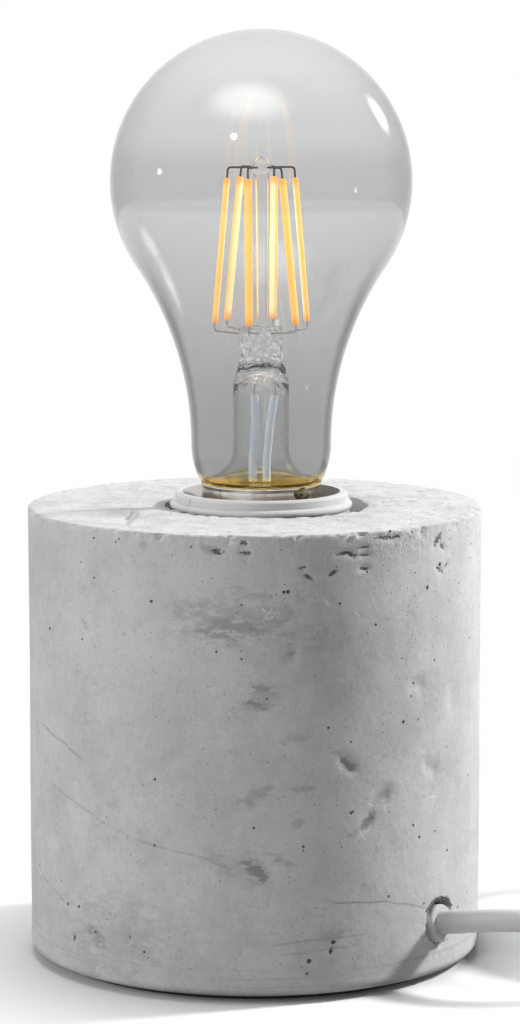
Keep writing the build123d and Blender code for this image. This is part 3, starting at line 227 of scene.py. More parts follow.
def turned(name, outline, segments, shape=None, sharp=60, middle=HOLDER_AXIS):
    """Mesh turned from a closed outline of radius and height about an upright axis, which is the holder's,
    a little to the right. The outline runs up its outside, and a shape may move each point."""
    grid = bmesh.new()
    rings = []
    for radius, height in outline:
        ring = []
        for step in range(1 if radius < 1e-6 else segments):
            angle = tau * step / segments
            point = Vector((radius * cos(angle), radius * sin(angle), height))
            ring.append(grid.verts.new((middle + (shape(point) if shape else point)) * MM))
        rings.append(ring)
    for lower, upper in zip(rings, rings[1:] + rings[:1]):
        for step in range(segments):
            corners = [lower[step % len(lower)], lower[(step + 1) % len(lower)],
                       upper[(step + 1) % len(upper)], upper[step % len(upper)]]
            corners = list(dict.fromkeys(corners))
            if len(corners) > 2:
                grid.faces.new(corners)
    return meshed(name, grid, sharp)


def ease(value, low, high):
    share = min(max((value - low) / (high - low), 0), 1)
    return share * share * (3 - 2 * share)


def grain(point, size, seed=0):
    return noise.noise(point / size + Vector((seed, 2 * seed, -seed)))


def front(side):
    """Level direction at a number of degrees to the right of the front."""
    return Vector((sin(radians(side)), -cos(radians(side)), 0))


def outward(point):
    return Vector((point.x, point.y, 0)).normalized()


# Concrete base: grey mortar poured round a former in a smooth mould and turned out when set.
# The wall keeps the mould's even skin with trapped bubbles and stains, the rim is rough where the pour
# was struck off, a wedge has broken out at the top left, and the cord hole was chipped open by hand.
BASE_RADIUS = 50.0
BASE_TOP = 100.0
BASE_FOOT = 1.5
FOOT_ROUND = 2.0
RIM_ROUND = 0.8
CHIP_CORNERS = [Vector(corner) for corner in ((-45.0, -18.0), (-26.2, -9.2), (-25.0, -17.5), (-27.0, -37.0))]
CHIP_DEEPEST = Vector((-27.2, -11.0))
CHIP_DEPTH = 1.7
RECESS_RADIUS = 22.5
RECESS_OFFSET = 2.6
RECESS_LIP = 96.0
RECESS_FLOOR = 45.4
TUBE_HOLE = 5.4
POCKET_RADIUS = 28.0
POCKET_TOP = 31.4
EXIT_SIDE = front(52)
EXIT_SLOPE = tan(radians(12))
BUSH_FACE = Vector((40.54, -30.58, 12.9))
BUSH_PROUD = 0.8
HOLE_MIDDLE = BUSH_FACE - EXIT_SIDE * BUSH_PROUD
DENT_DEPTH = 0.45
GOUGE_DEPTH = 0.35
GOUGE_LEAST = 0.6
TOP_HOLE_DEPTH = 0.5


def chip_share(point):
    """How deep a spot of the top lies in the broken wedge, from 0 at its edge to 1 at its lowest."""
    share = 1.0
    for here, there in zip(CHIP_CORNERS, CHIP_CORNERS[1:] + CHIP_CORNERS[:1]):
        along = there - here
        inward = Vector((-along.y, along.x))
        share = min(share, inward.dot(point.xy - here) / inward.dot(CHIP_DEEPEST - here))
    return max(share, 0.0)


# The photograph's camera: in front of the lamp at the height of the bulb's crown, turned down and a touch to
# the right by numbers of degrees. It tells where a mark lies that was read off the photograph in pixels.
PHOTO_WIDTH, PHOTO_HEIGHT = 520, 1024
CAMERA_PLACE = Vector((0, -788.0, 203.7))
LOOK_DOWN, LOOK_RIGHT = 7.63, 0.0836
LOOK = Euler((radians(90 - LOOK_DOWN), 0, radians(-LOOK_RIGHT)))
LENS, SENSOR = 126.6, 36.0


def sight(x, y):
    """Direction in which the camera sees a pixel, with a level run of 1."""
    offset = Vector((x - PHOTO_WIDTH / 2, PHOTO_HEIGHT / 2 - y, -PHOTO_HEIGHT * LENS / SENSOR))
    way = LOOK.to_matrix() @ offset
    return way / way.xy.length


def wall_at(x, y):
    """Side in degrees and height of the wall's spot that shows at a pixel, to a tenth."""
    way = sight(x, y)
    nearest = -CAMERA_PLACE.xy.dot(way.xy)
    aside = (CAMERA_PLACE + way * nearest).xy.length
    spot = CAMERA_PLACE + way * (nearest - sqrt(BASE_RADIUS ** 2 - aside ** 2))
    return round(degrees(atan2(spot.x, -spot.y)), 1), round(spot.z, 1)


def top_at(x, y):
    """Spot of the top that shows at a pixel, to a tenth of a millimetre."""
    way = sight(x, y)
    spot = CAMERA_PLACE + way * ((BASE_TOP - CAMERA_PLACE.z) / way.z)
    return round(spot.x, 1), round(spot.y, 1)


# Dents, gouges and holes of the top that are cut into the mesh. A dent and a gouge are ovals with a side, a
# height, two half widths and a tilt, and a hole has a place and a size. Places without a pixel, here and in
# the lists of stains and painted dent shade, lines and scrapes, were given.
UPPER_DENT = (*wall_at(348.5, 764.6), 2.7, 1.25, -42)
LOWER_DENT = (*wall_at(369, 819), 2.3, 1.3, 48)
BROAD_DENT = (*wall_at(383.5, 796.5), 2.6, 1.8, 35)
SMALL_DENT = (*wall_at(292.4, 655), 1.3, 1.1, 40)
CRESCENT = wall_at(84, 626)
DENTS = [UPPER_DENT, LOWER_DENT, BROAD_DENT, SMALL_DENT, (*CRESCENT, 1.8, 0.9, -50),
         (*wall_at(67.4, 698), 2.2, 1.4, 20), (-42.8, 11, 3.2, 1.8, -35), (49.2, 47, 2.6, 1.4, -40),
         (58, 62, 2.8, 1.8, 60), (44, 66, 2.2, 1.4, -20), (-20, 52, 2.4, 1.4, 30), (-60, 30, 2.0, 1.2, -30),
         (140, 50, 4, 2, 20), (220, 70, 3, 2, -40)]
GOUGES = [(*wall_at(74, 938), 0.95, 0.45, 80), (19.0, 11.2, 0.9, 0.45, 60),
          (*wall_at(130, 938), 0.7, 0.35, -60), (22.0, 95.7, 1.7, 0.40, 10), (24.0, 95.2, 1.0, 0.55, -20),
          (27.0, 96.6, 1.6, 0.24, 3), (27.2, 95.0, 1.4, 0.24, -2), (27.4, 92.1, 1.2, 0.36, -6),
          (19.0, 91.6, 1.0, 0.45, 30), (13.0, 91.0, 1.3, 0.40, -35), (11.5, 93.0, 0.9, 0.30, 20),
          (*wall_at(438, 540), 1.8, 0.8, 40), (53.0, 94.8, 1.2, 0.45, -40),
          (*wall_at(440, 570), 1.4, 0.5, -30), (55.0, 90.6, 0.9, 0.35, 30), (-2.7, 98.4, 0.8, 0.9, 0),
          (-2.2, 96.2, 1.2, 0.45, 0), (-9.0, 96.4, 1.4, 0.6, 0), (32.4, 98.4, 2.2, 0.5, -4),
          (36.0, 98.2, 1.6, 0.45, 6), (200, 94, 2.0, 0.6, 10), (150, 96, 1.6, 0.5, -20),
          (96, 93, 1.5, 0.5, 15)]
TOP_HOLES = [(*top_at(410, 500.6), 1.0), (*top_at(418, 491), 0.8), (*top_at(430, 514), 0.7),
             (*top_at(400, 505), 0.5), (*top_at(385, 492), 0.7), (42.0, -6.0, 0.6), (21.0, 38.0, 0.8),
             (-8.0, 42.0, 0.7), (-33.0, 22.0, 0.6), (-20.0, 36.0, 0.5)]


def on_wall(side, level):
    """Point of the wall at a number of degrees to the right of the front and a height."""
    return front(side) * BASE_RADIUS + UP * level


def hollow(point, side, level, long, wide, tilt):
    """Depth at a point of the wall of an oval hollow with two half widths, whose long side rises to the
    right by a tilt: 1 in its middle and 0 near twice the half widths. The wall's far side has none."""
    if abs(point.z - level) > 2 * max(long, wide):
        return 0.0
    turn = radians(side)
    lean = radians(tilt)
    offset = point - on_wall(side, level)
    across = offset.x * cos(turn) + offset.y * sin(turn)
    along = (across * cos(lean) + offset.z * sin(lean)) / long
    off = (offset.z * cos(lean) - across * sin(lean)) / wide
    inward = (offset.x * sin(turn) - offset.y * cos(turn)) / BASE_RADIUS
    return ease(1 - hypot(along, off, inward) / 2, 0.1, 1.0)


def weathered(point):
    """Concrete worn at its rim, dented and gouged, broken at the left and chipped open round the cord."""
    out = outward(point)
    radius = point.xy.length
    moved = point.copy()
    if point.z > 45:
        moved.x += RECESS_OFFSET * ease(33 - radius, 0, 9) * ease(radius, 9, 20)
    if radius < 9:
        moved += HOLDER_AXIS
    if radius > 49 and point.z > 4:
        moved -= out * (0.10 + 0.10 * grain(point, 26)) * ease(BASE_TOP - point.z, 0, 8)
    edge = hypot(BASE_RADIUS - radius, BASE_TOP - point.z)
    if edge < 5:
        side = degrees(atan2(point.x, -point.y))
        worn = 0.55 + 0.45 * ease(grain(out * 30, 9, 3), -0.2, 0.4)
        bite = ease(grain(point, 2.6, 5) + 0.5 * grain(point, 1.1, 9), 0.28, 0.75) * worn
        bite += 0.8 * ease(3.0 - abs(side + 5.5), 0, 2.2) * ease(grain(point, 1.5, 2), -0.2, 0.3)
        bite += 0.35 * ease(grain(point, 0.9, 15), 0.15, 0.5) * worn
        moved -= (out + UP) * 0.85 * bite * exp(-(edge / 1.6) ** 2)
    if radius > 49 and 4 < point.z < 99.5:
        for side, level, long, wide, tilt in DENTS:
            rough_edge = 1 + 0.45 * grain(point, 1.8, 17) + 0.25 * grain(point, 0.9, 18)
            moved -= out * DENT_DEPTH * hollow(point, side, level, long * rough_edge, wide * rough_edge, tilt)
        for side, level, long, wide, tilt in GOUGES:
            moved -= out * GOUGE_DEPTH * hollow(point, side, level, long, max(wide, GOUGE_LEAST), tilt)
    if point.z > 99.9 and radius < 49.5:
        for x, y, size in TOP_HOLES:
            moved.z -= TOP_HOLE_DEPTH * ease(1.5 * size - dist(point.xy, (x, y)), 0, size)
        moved.z -= 0.10 + 0.10 * grain(point, 7, 1) + 0.10 * ease(grain(point, 1.6, 4), 0.2, 0.7)
        share = chip_share(moved)
        moved.z -= CHIP_DEPTH * share + 0.12 * ease(share, 0, 0.1) * (1 + grain(point, 3, 6))
        lip = ease(RECESS_RADIUS + 1.8 - radius, 0, 1.6) * ease(grain(point, 2.2, 8), -0.1, 0.5)
        moved.z -= 0.5 * lip
    across = (point - HOLE_MIDDLE).length
    if radius > 49 and across < 9:
        ragged = 4.55 + 1.15 * abs(grain(point, 2.4, 11)) + 0.55 * grain(point, 0.9, 12)
        moved -= out * 2.6 * ease(ragged - across, -0.15, 0.8)
        moved -= out * 0.22 * ease(8.0 - across, 0, 3.0) * ease(grain(point, 1.8, 13), 0.0, 0.5)
    return moved


# The wall is split finely round the cord's hole and under the rim, where it is chipped.
base_outline = arc((BASE_RADIUS - FOOT_ROUND, BASE_FOOT + FOOT_ROUND), FOOT_ROUND, -90, 0, 6)
for low, high, step in ((4.2, 22.0, 0.55), (22.0, 88.5, 1.1), (88.5, 99.0, 0.5)):
    base_outline += run((BASE_RADIUS, low), (BASE_RADIUS, high), step)
base_outline += arc((BASE_RADIUS - RIM_ROUND, BASE_TOP - RIM_ROUND), RIM_ROUND, 0, 90, 5)
base_outline += run((BASE_RADIUS - 1.5 * RIM_ROUND, BASE_TOP), (RECESS_RADIUS, BASE_TOP), 0.62)
base_outline += run((RECESS_RADIUS, BASE_TOP), (RECESS_RADIUS, RECESS_LIP), 0.8)
base_outline += run((RECESS_RADIUS, RECESS_LIP), (RECESS_RADIUS, RECESS_FLOOR), 8.0)
base_outline += [(RECESS_RADIUS, RECESS_FLOOR), (TUBE_HOLE, RECESS_FLOOR), (TUBE_HOLE, POCKET_TOP),
                 (POCKET_RADIUS, POCKET_TOP), (POCKET_RADIUS, BASE_FOOT)]
concrete = turned("concrete_casting", base_outline, 500, weathered, middle=Vector())
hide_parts("concrete_body")
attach(concrete, "lamp_base")

mortar = Paint("cast_concrete", Specular_IOR_Level=0.25)
height = mortar.axis(2)
wander = mortar.cloud(9, 4, 0.6) - 0.5
fray = mortar.cloud(2.0, 6, 0.68) - 0.5


def near(place):
    return mortar.measure("DISTANCE", mortar.spot, place)


def oval(side, level, long, wide, tilt):
    """Share that falls from 1 in the middle of an oval on the wall, through a half at its edge, to 0.
    The oval has two half widths in millimetres, and its long side rises to the right by a tilt."""
    turn = (0, -radians(tilt), radians(side))
    local = mortar.node("ShaderNodeMapping", {"vector_type": "TEXTURE"}, {
        "Vector": mortar.spot, "Location": on_wall(side, level), "Rotation": turn,
        "Scale": (2 * long, 2 * long, 2 * wide)})
    return mortar.node("ShaderNodeTexGradient", {"gradient_type": "SPHERICAL"}, {"Vector": local}, "Fac")


def larger(first, second):
    return mortar.node("ShaderNodeMath", {"operation": "MAXIMUM"}, {0: first, 1: second})


tone = mortar.cloud(42, 4, 0.5) * 0.4 + mortar.cloud(10, 6, 0.6) * 0.33
tone = tone + mortar.cloud(2.4, 6, 0.7) * 0.27
skin = mortar.mix(mortar.ease(tone, 0.38, 0.62), grey(0.58), grey(0.72, -0.004))
grit = mortar.cloud(0.55, 3, 0.7)
skin = mortar.mix(mortar.ease(grit, 0.5, 0.8) * 0.5, skin, grey(0.50))
skin = mortar.mix(mortar.ease(grit, 0.5, 0.25) * 0.4, skin, grey(0.80))
streak = mortar.cloud(1.1, 3, 0.6, turn=(0, 0.05, 0), scale=(0.02, 0.02, 1))
low_wall = mortar.ease(height, 20, 8)
skin = mortar.mix(mortar.ease(streak, 0.54, 0.66) * low_wall * 0.35, skin, grey(0.45))
speck = mortar.ease(mortar.cloud(0.9, 3, 0.6, 0.6), 0.57, 0.68)
speck = speck * mortar.ease(mortar.cloud(7, 3, 0.6), 0.42, 0.58)
skin = mortar.mix(speck * 0.38, skin, grey(0.34))
crust = mortar.ease(height, 92, 99.6)
skin = mortar.mix(crust * 0.5, skin, grey(0.75))
struck = mortar.ease(height, 98.6, 99.6)
skin = mortar.mix(struck * mortar.ease(mortar.cloud(6, 6, 0.72), 0.42, 0.68) * 0.55, skin, grey(0.45))

# Smudges of the mould's oil, and painted shade in the dents, each an oval with a side, a height, two half
# widths, a tilt and a depth.
SMUDGES_AND_DENT_SHADE = [(-38, 12, 15, 11, 0, 0.30), (-5, 82.5, 15, 6.0, 4, 0.40), (-6, 80.5, 7.0, 2.4, 0, 0.35),
           (16, 79, 9.0, 4.0, -6, 0.22), (1, 66, 4.4, 3.2, 0, 0.35),
           (*wall_at(261.8, 688.8), 2.6, 0.8, 5, 0.45), (0, 64, 3.0, 1.2, -8, 0.5), (*SMALL_DENT, 0.6),
           (9.4, 57, 3.8, 1.0, 3, 0.35), (0.3, 45, 4.4, 1.9, 28, 0.5),
           (*wall_at(304, 788.5), 3.2, 0.8, 2, 0.35), (*wall_at(297, 825), 1.8, 1.0, 30, 0.4),
           (-0.4, 30, 3.0, 2.2, -50, 0.7), (1.4, 28.5, 3.8, 1.0, -58, 0.7),
           (*wall_at(279, 859), 3.4, 1.0, -25, 0.5), (-3, 29, 5.5, 2.6, -12, 0.35),
           (*wall_at(211, 857), 2.6, 1.6, 10, 0.35), (*UPPER_DENT, 0.95), (21, 53, 3.4, 1.3, -40, 0.4),
           (*LOWER_DENT, 0.95), (26, 36.4, 2.8, 1.0, 20, 0.4), (*BROAD_DENT, 0.55),
           (-30, 80, 2.2, 1.2, 45, 0.35), (*CRESCENT, 1.8, 0.8, -50, 0.45), (-28, 97, 1.0, 2.6, 0, 0.35),
           (-10.7, 97, 2.2, 1.2, -15, 0.5), (-42.8, 11, 3.4, 1.8, -35, 0.45),
           (-36, 41, 2.4, 1.4, 20, 0.3), (19.1, 14.5, 3.0, 2.0, 30, 0.4), (160, 60, 8, 4, 20, 0.5),
           (215, 30, 6, 2.5, -30, 0.6), (190, 78, 7, 3, 5, 0.5), (110, 66, 5, 2, 40, 0.45),
           (250, 52, 6, 3, -15, 0.5), (130, 24, 4, 2, 60, 0.5)]
streaky = 3.0 - mortar.cloud(1.8, 6, 0.75, turn=(0, 0.08, 0), scale=(0.4, 0.4, 1.0)) * 4.0
smudge_and_dent_shade = 0.0
for side, level, long, wide, tilt, depth in SMUDGES_AND_DENT_SHADE:
    smudge_and_dent_shade = mortar.ease(oval(side, level, long, wide, tilt) * streaky, 0.40, 0.85) * depth + smudge_and_dent_shade
# The ovals that lie on the dents are painted shade, the rest are oil stains.
skin = mortar.mix(smudge_and_dent_shade, skin, grey(0.34))

# Hairlines where the skin has crept over the mould, from one spot of the wall to another.
HAIRLINES = [(wall_at(40.7, 723), wall_at(85.4, 763), 0.5), (wall_at(42, 779), wall_at(115.7, 830), 0.32),
             ((-70, 21), (-52, 16), 0.4), (wall_at(125, 838), wall_at(240, 871.5), 0.34),
             (wall_at(320, 901.7), wall_at(431, 908), 0.6), ((2, 12.5), (30, 13.8), 0.35),
             ((5, 10.4), (28, 11.8), 0.3), ((165, 82), (215, 52), 0.45)]
for start, end, depth in HAIRLINES:
    start, end = on_wall(*start), on_wall(*end)
    middle = (start + end) / 2
    across = (end - start).cross(middle).normalized()
    offset = mortar.measure("DOT_PRODUCT", mortar.spot, across)
    half = (end - start).length / 2
    line = mortar.ease(abs(offset - across.dot(middle) + wander * 2.0), 0.34, 0.05)
    line = line * mortar.ease(near(middle), half * 1.05, half * 0.7) * mortar.ease(fray, -0.20, 0.05)
    skin = mortar.mix(line * depth, skin, grey(0.27))

# Holes: pinholes everywhere and crowded at the upper right, round blowholes, short gouges under the rim,
# and the crumbled edge over the cord's hole, all painted near black as painted shade inside them.
ragged = 3.2 - mortar.cloud(0.7, 5, 0.8) * 4.4
crowded = mortar.ease(near(on_wall(46, 79)), 32, 8) * 0.20 + mortar.ease(near(on_wall(40, 92)), 24, 4) * 0.14
pit = 0.0
for side, level, long, wide, tilt in GOUGES:
    pit = larger(mortar.ease(oval(side, level, long, wide, tilt) * ragged, 0.50, 0.95) * 0.75, pit)
for cell, size, share in ((0.9, 0.16, 0.91), (2.6, 0.13, 0.89), (7.0, 0.055, 0.80)):
    hole = mortar.ease(mortar.cells(cell, "Distance"), size, size * 0.5)
    chosen = mortar.axis(0, mortar.cells(cell, "Color"))
    pit = larger(hole * mortar.ease(chosen + crowded, share, share + 0.02), pit)
BLOWHOLES = [(*wall_at(67.8, 904), 0.40), (*wall_at(78.4, 906.5), 0.40), (*wall_at(309, 961), 0.60),
             (*wall_at(307, 973.5), 0.38), (19.3, 12.9, 0.55), (39, 58.5, 0.45), (47, 86.5, 0.55),
             (52, 91, 0.6), (-62, 76, 0.45), (8, 88, 0.5), (170, 40, 1.0), (205, 66, 0.8), (120, 14, 0.9),
             (236, 20, 0.8)]
for side, level, size in BLOWHOLES:
    pit = larger(mortar.ease(near(on_wall(side, level)) + wander * 0.7, size, size * 0.6), pit)
for x, y, size in TOP_HOLES:
    pit = larger(mortar.ease(near(Vector((x, y, BASE_TOP))) + fray * 1.6, size, size * 0.5), pit)
crumbled = mortar.ease(abs(near(HOLE_MIDDLE) - 5.1 + fray * 3.0), 0.8, 0.25) * mortar.ease(height, 14.6, 16.6)
pit = larger(crumbled * 0.9, pit)
# Painted shade: the holes are painted near black, and the gouges a little lighter.
skin = mortar.mix(pit * 0.90, skin, grey(0.07))

# Pale scrapes, and a relief that is roughest at the rim.
NICKS = [(27.1, 35.2, 1.5, 0.24, -58), (27.8, 36.0, 0.9, 0.20, 10), (29.2, 41.7, 1.7, 0.20, -28),
         (30.8, 40.9, 1.3, 0.20, 65), (34.8, 41.0, 2.2, 0.20, -2), (33.6, 40.4, 1.2, 0.20, 82),
         (*wall_at(432, 797), 2.2, 0.20, 0), (49.8, 40.0, 1.3, 0.20, 85), (3.0, 83.2, 2.2, 0.26, 55),
         (2.4, 84.0, 1.6, 0.24, -50), (3.8, 82.6, 1.4, 0.24, 20), (*wall_at(326, 602), 1.8, 0.5, -45),
         (*wall_at(375, 604), 2.6, 0.20, -68), (25.4, 82.6, 1.8, 0.24, -40), (-9.2, 99.4, 1.2, 0.5, 0),
         (6.7, 99.5, 1.3, 0.5, 0), (48.0, 10.5, 2.4, 0.5, 40), (37.9, 96.0, 3.0, 0.18, 88),
         (44.2, 95.6, 3.4, 0.20, 91)]
nick = 0.0
for side, level, long, wide, tilt in NICKS:
    nick = larger(mortar.ease(oval(side, level, long, wide, tilt) * ragged, 0.45, 0.85), nick)
skin = mortar.mix(nick * 0.65, skin, grey(0.95))
relief = mortar.cloud(1.3, 5, 0.65)
rough = mortar.bump(relief * (crust * 0.85 + 0.15), 0.42)
rough = mortar.bump(mortar.cloud(12, 3, 0.5), 0.4, rough)
rough = mortar.bump(1 - pit, 0.7, rough)
mortar.feed(Base_Color=skin, Normal=rough, Roughness=0.97 - tone * 0.14)
finish(concrete, mortar)

# Felt pad: a disc of needled grey felt glued under the base, which closes the wiring pocket.
# It hides the fixing nut and keeps the concrete off the table.
felt = Paint("needled_felt", Roughness=1.0, Sheen_Weight=0.3)
lint = felt.cloud(0.5, 4, 0.75, 2.0, scale=(1, 1, 0.3))
felt.feed(Base_Color=felt.mix(lint, grey(0.035), grey(0.10)), Normal=felt.bump(lint, 0.25))
dress(felt, "base_pad")

# Fixings in the base: zinc-plated threaded tube, washers and nut, and the small screws of the lamp.
# The plating is dull and a little blotched, and the tube's cut thread shows as fine rings.
zinc = mottled("zinc_plate", (3.0, 4, 0.6), grey(0.50), grey(0.66, 0.02), (0.28, 0.2), Metallic=1.0)
thread_paint = Paint("zinc_thread", Metallic=1.0, Base_Color=grey(0.6))
rings = thread_paint.wave("Z", 0.314, 0.0)
thread_paint.feed(Roughness=rings * 0.2 + 0.3, Normal=thread_paint.bump(rings, 0.4))
dress(thread_paint, "fixing_tube")
dress(zinc, "upper_washer", "lower_washer", "fixing_nut", "anchor_screw", "holder_grub_screw",
      "terminal_screws", "contact_rivets", "rocker_pin", "switch_screws")

# Lampholder: a cup on the fixing tube and a skirt screwed over it, both moulded in white thermoplastic.
# The skirt's rim is the white collar in the recess. It has a mould seam and a slight orange-peel gloss.
moulded = Paint("moulded_white", IOR=1.5)
peel = moulded.cloud(1.4, 2, 0.5)
dirt = moulded.cloud(9, 5, 0.6)
soiled = moulded.ease(dirt, 0.45, 0.75)
moulded.feed(Base_Color=moulded.mix(soiled * 0.5, grey(0.64, 0.004), grey(0.56, 0.012)),
             Roughness=dirt * 0.15 + 0.28, Normal=moulded.bump(peel, 0.035))
SEAM_SIDE = radians(-52)
collar = Paint("collar_white", IOR=1.5)
seam = collar.measure("DOT_PRODUCT", collar.spot, (cos(SEAM_SIDE), sin(SEAM_SIDE), 0))
facing = collar.measure("DOT_PRODUCT", collar.spot, (sin(SEAM_SIDE), -cos(SEAM_SIDE), 0))
seam_line = collar.ease(abs(seam), 0.22, 0.05) * collar.ease(facing, 10, 14)
# The collar grows darker in patches towards its foot.
collar_patches = collar.cloud(2.2, 5, 0.7)
low_darkening = collar.ease(collar.axis(2), 101.5, 98.0) * collar.ease(collar_patches, 0.42, 0.66)
collar.feed(Base_Color=collar.mix(low_darkening * 0.45 + seam_line * 0.25, grey(0.66, 0.004), grey(0.50, 0.01)),
            Roughness=collar_patches * 0.2 + 0.25,
            Normal=collar.bump(1 - seam_line, 0.15, collar.bump(collar.cloud(1.6, 2), 0.03)))
dress(collar, "holder_skirt")
dress(moulded, "holder_cup", "cord_bush", "anchor_clamp")

# Terminal block and its wiring: glazed ceramic with brass terminals, a sprung brass tongue for the
# bulb's tip, and the cord's brown and blue cores clamped below.
glaze = Paint("glazed_ceramic", Coat_Weight=0.6, Coat_Roughness=0.08)
speck = glaze.cloud(0.8, 3, 0.6)
glaze.feed(Base_Color=glaze.mix(glaze.ease(speck, 0.6, 0.75), grey(0.78, 0.02), grey(0.55, 0.05)),
           Roughness=speck * 0.2 + 0.3, Normal=glaze.bump(glaze.cloud(3, 2), 0.08))
dress(glaze, "terminal_block")
brass = mottled("stamped_brass", (2.5, 5, 0.65), (0.46, 0.30, 0.10, 1), (0.74, 0.54, 0.22, 1), (0.2, 0.3),
                Metallic=1.0)
dress(brass, "centre_contact", "holder_terminals", "switch_contacts")
for piece, dark, light in (("live_core", (0.10, 0.04, 0.02, 1), (0.17, 0.07, 0.03, 1)),
                           ("neutral_core", (0.02, 0.08, 0.30, 1), (0.04, 0.13, 0.42, 1))):
    dress(mottled(piece + "_pvc", (1.5, 3), dark, light, (0.35, 0.2)), piece)

# Screw shell and bulb cap: thin brass and nickel-plated sheet rolled to the same round thread, one inside
# the other. The thread rises as it turns, so the bulb lifts as it is unscrewed.
THREAD_PITCH = 3.629
THREAD_FADE = 1.4


def rolled(low, high, depth):
    """Shape of a rolled thread between two heights, fading out at its ends."""
    def shape(point):
        angle = atan2(point.y, point.x)
        wave = cos(tau * (point.z / THREAD_PITCH) - angle)
        out = outward(point)
        ends = ease(point.z, low, low + THREAD_FADE) * ease(high - point.z, 0, THREAD_FADE)
        return point + out * depth / 2 * wave * ends
    return shape


nickel = Paint("nickel_plate", Metallic=1.0)
tarnish = nickel.cloud(3.5, 5, 0.65, scale=(1, 1, 0.35))
brushed = nickel.cloud(0.5, 2, scale=(0.05, 0.05, 1))
nickel.feed(Base_Color=nickel.mix(nickel.ease(tarnish, 0.4, 0.7), grey(0.74, 0.02), (0.50, 0.45, 0.39, 1)),
            Roughness=tarnish * 0.25 + 0.12, Normal=nickel.bump(brushed, 0.02))
SHELL_LOW, SHELL_HIGH = 74.75, 97.75
SHELL_RADIUS, SHELL_BORE, SHELL_LIP = 13.78, 13.63, 10.5
shell_outline = [(SHELL_LIP, SHELL_LOW)]
shell_outline += run((SHELL_RADIUS, SHELL_LOW), (SHELL_RADIUS, SHELL_HIGH), 0.3)
shell_outline += run((SHELL_RADIUS, SHELL_HIGH), (SHELL_BORE, SHELL_HIGH), 1.0)
shell_outline += run((SHELL_BORE, SHELL_HIGH), (SHELL_BORE, SHELL_LOW + 0.6), 0.3)
shell_outline += [(SHELL_LIP, SHELL_LOW + 0.6)]
shell = turned("threaded_shell", shell_outline, 96, rolled(SHELL_LOW + 1.0, SHELL_HIGH - 0.6, 0.6), sharp=50)
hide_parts("screw_shell")
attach(shell, "lamp_base")
finish(shell, brass)

CAP_LOW, CAP_RIM = 83.0, 104.8
CAP_RADIUS, CAP_BORE, CAP_LIP = 12.75, 12.45, 9.5
CAP_SWELL = 0.33
cap_outline = [(CAP_LIP, CAP_LOW)] + run((CAP_RADIUS, CAP_LOW), (CAP_RADIUS, CAP_RIM - 0.5), 0.3)
cap_outline += arc((12.7, CAP_RIM - 0.25), 0.25, -30, 180, 8)
cap_outline += run((CAP_BORE, CAP_RIM - 0.5), (CAP_BORE, CAP_LOW + 0.4), 0.3) + [(CAP_LIP, CAP_LOW + 0.4)]


def cap_shape(point):
    """Thread below, and a plain rim that widens to hold the glass."""
    out = outward(point)
    rim = out * CAP_SWELL * ease(point.z, CAP_RIM - 4.6, CAP_RIM - 3.2)
    return rolled(CAP_LOW + 0.8, CAP_RIM - 4.2, 0.68)(point) + rim


cap = turned("threaded_cap", cap_outline, 120, cap_shape, sharp=50)
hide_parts("cap_shell")
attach(cap, "bulb")
finish(cap, nickel)

# Foot of the cap: black vitrite glass with a domed tin contact, the cement that holds the bulb in the cap,
# and the spot of solder that ties one lead to the rim.
vitrite = Paint("vitrite", Base_Color=grey(0.012), IOR=1.55)
ripple = vitrite.cloud(2.0, 3)
vitrite.feed(Roughness=ripple * 0.15 + 0.05, Normal=vitrite.bump(ripple, 0.1))
dress(vitrite, "cap_insulator")
tin = mottled("dull_solder", (1.2, 4, 0.65), (0.06, 0.055, 0.035, 1), (0.34, 0.31, 0.20, 1), (0.2, 0.4), 0.25,
              Metallic=1.0)
dress(tin, "cap_tip")
SOLDER_SIDE = front(42)
SOLDER_SIZE = Vector((1.9, 1.25, 1.45))
solder_middle = SOLDER_SIDE * 13.2 + UP * (CAP_RIM - 1.5)
lump = bmesh.new()
bmesh.ops.create_icosphere(lump, subdivisions=4, radius=1.0)
for vert in lump.verts:
    swell = 1 + 0.22 * grain(vert.co, 0.7, 21) + 0.10 * grain(vert.co, 0.3, 22)
    bent = vert.co * SOLDER_SIZE * swell
    bent.rotate(Vector((0, -1, 0)).rotation_difference(SOLDER_SIDE))
    vert.co = (HOLDER_AXIS + solder_middle + bent) * MM
solder = meshed("solder_spot", lump)
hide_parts("cap_solder")
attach(solder, "bulb")
finish(solder, tin)
resin = Paint("amber_cement", Coat_Weight=0.5, Coat_Roughness=0.15)
char = resin.cloud(3.0, 5, 0.65)
resin.feed(Base_Color=resin.mix(resin.ease(char, 0.35, 0.65), (0.72, 0.47, 0.10, 1), (0.98, 0.80, 0.32, 1)),
           Roughness=char * 0.3 + 0.35, Normal=resin.bump(char, 0.3))
dress(resin, "cap_cement")

# Driver inside the cap: a round board with a capacitor, a choke and a chip, hidden once the cap is on.
board = Paint("green_board", Coat_Weight=0.4)
weave = board.node("ShaderNodeTexChecker", {}, {"Vector": board.spot, "Scale": 1.6}, "Fac")
board.feed(Base_Color=board.mix(weave * 0.3, (0.02, 0.13, 0.05, 1), (0.05, 0.22, 0.08, 1)),
           Roughness=weave * 0.1 + 0.4)
dress(board, "driver_board")
potted = mottled("black_moulding", (0.6, 3), grey(0.015), grey(0.035), (0.5, 0.2), 0.05)
dress(potted, "driver_parts", "pin_sleeves")

# Bulb glass: one thin blown envelope, a ball that runs through a hollow shoulder into the neck, drawn in at
# the foot where it is sealed to the stem. It has a grey tint, painted lighter at the crown as a highlight and
# darker towards its edges, in the neck and in a band across the ball as painted shade and reflection.
# Amber cement shows through at its foot.
BULB_MIDDLE = 170.9
BALL_RADIUS = 33.0
SHOULDER_RADIUS = 70.0
NECK_RADIUS = 15.4
FOOT_RADIUS = 13.3
GLASS_FOOT = 105.0
GLASS_WALL = 0.6


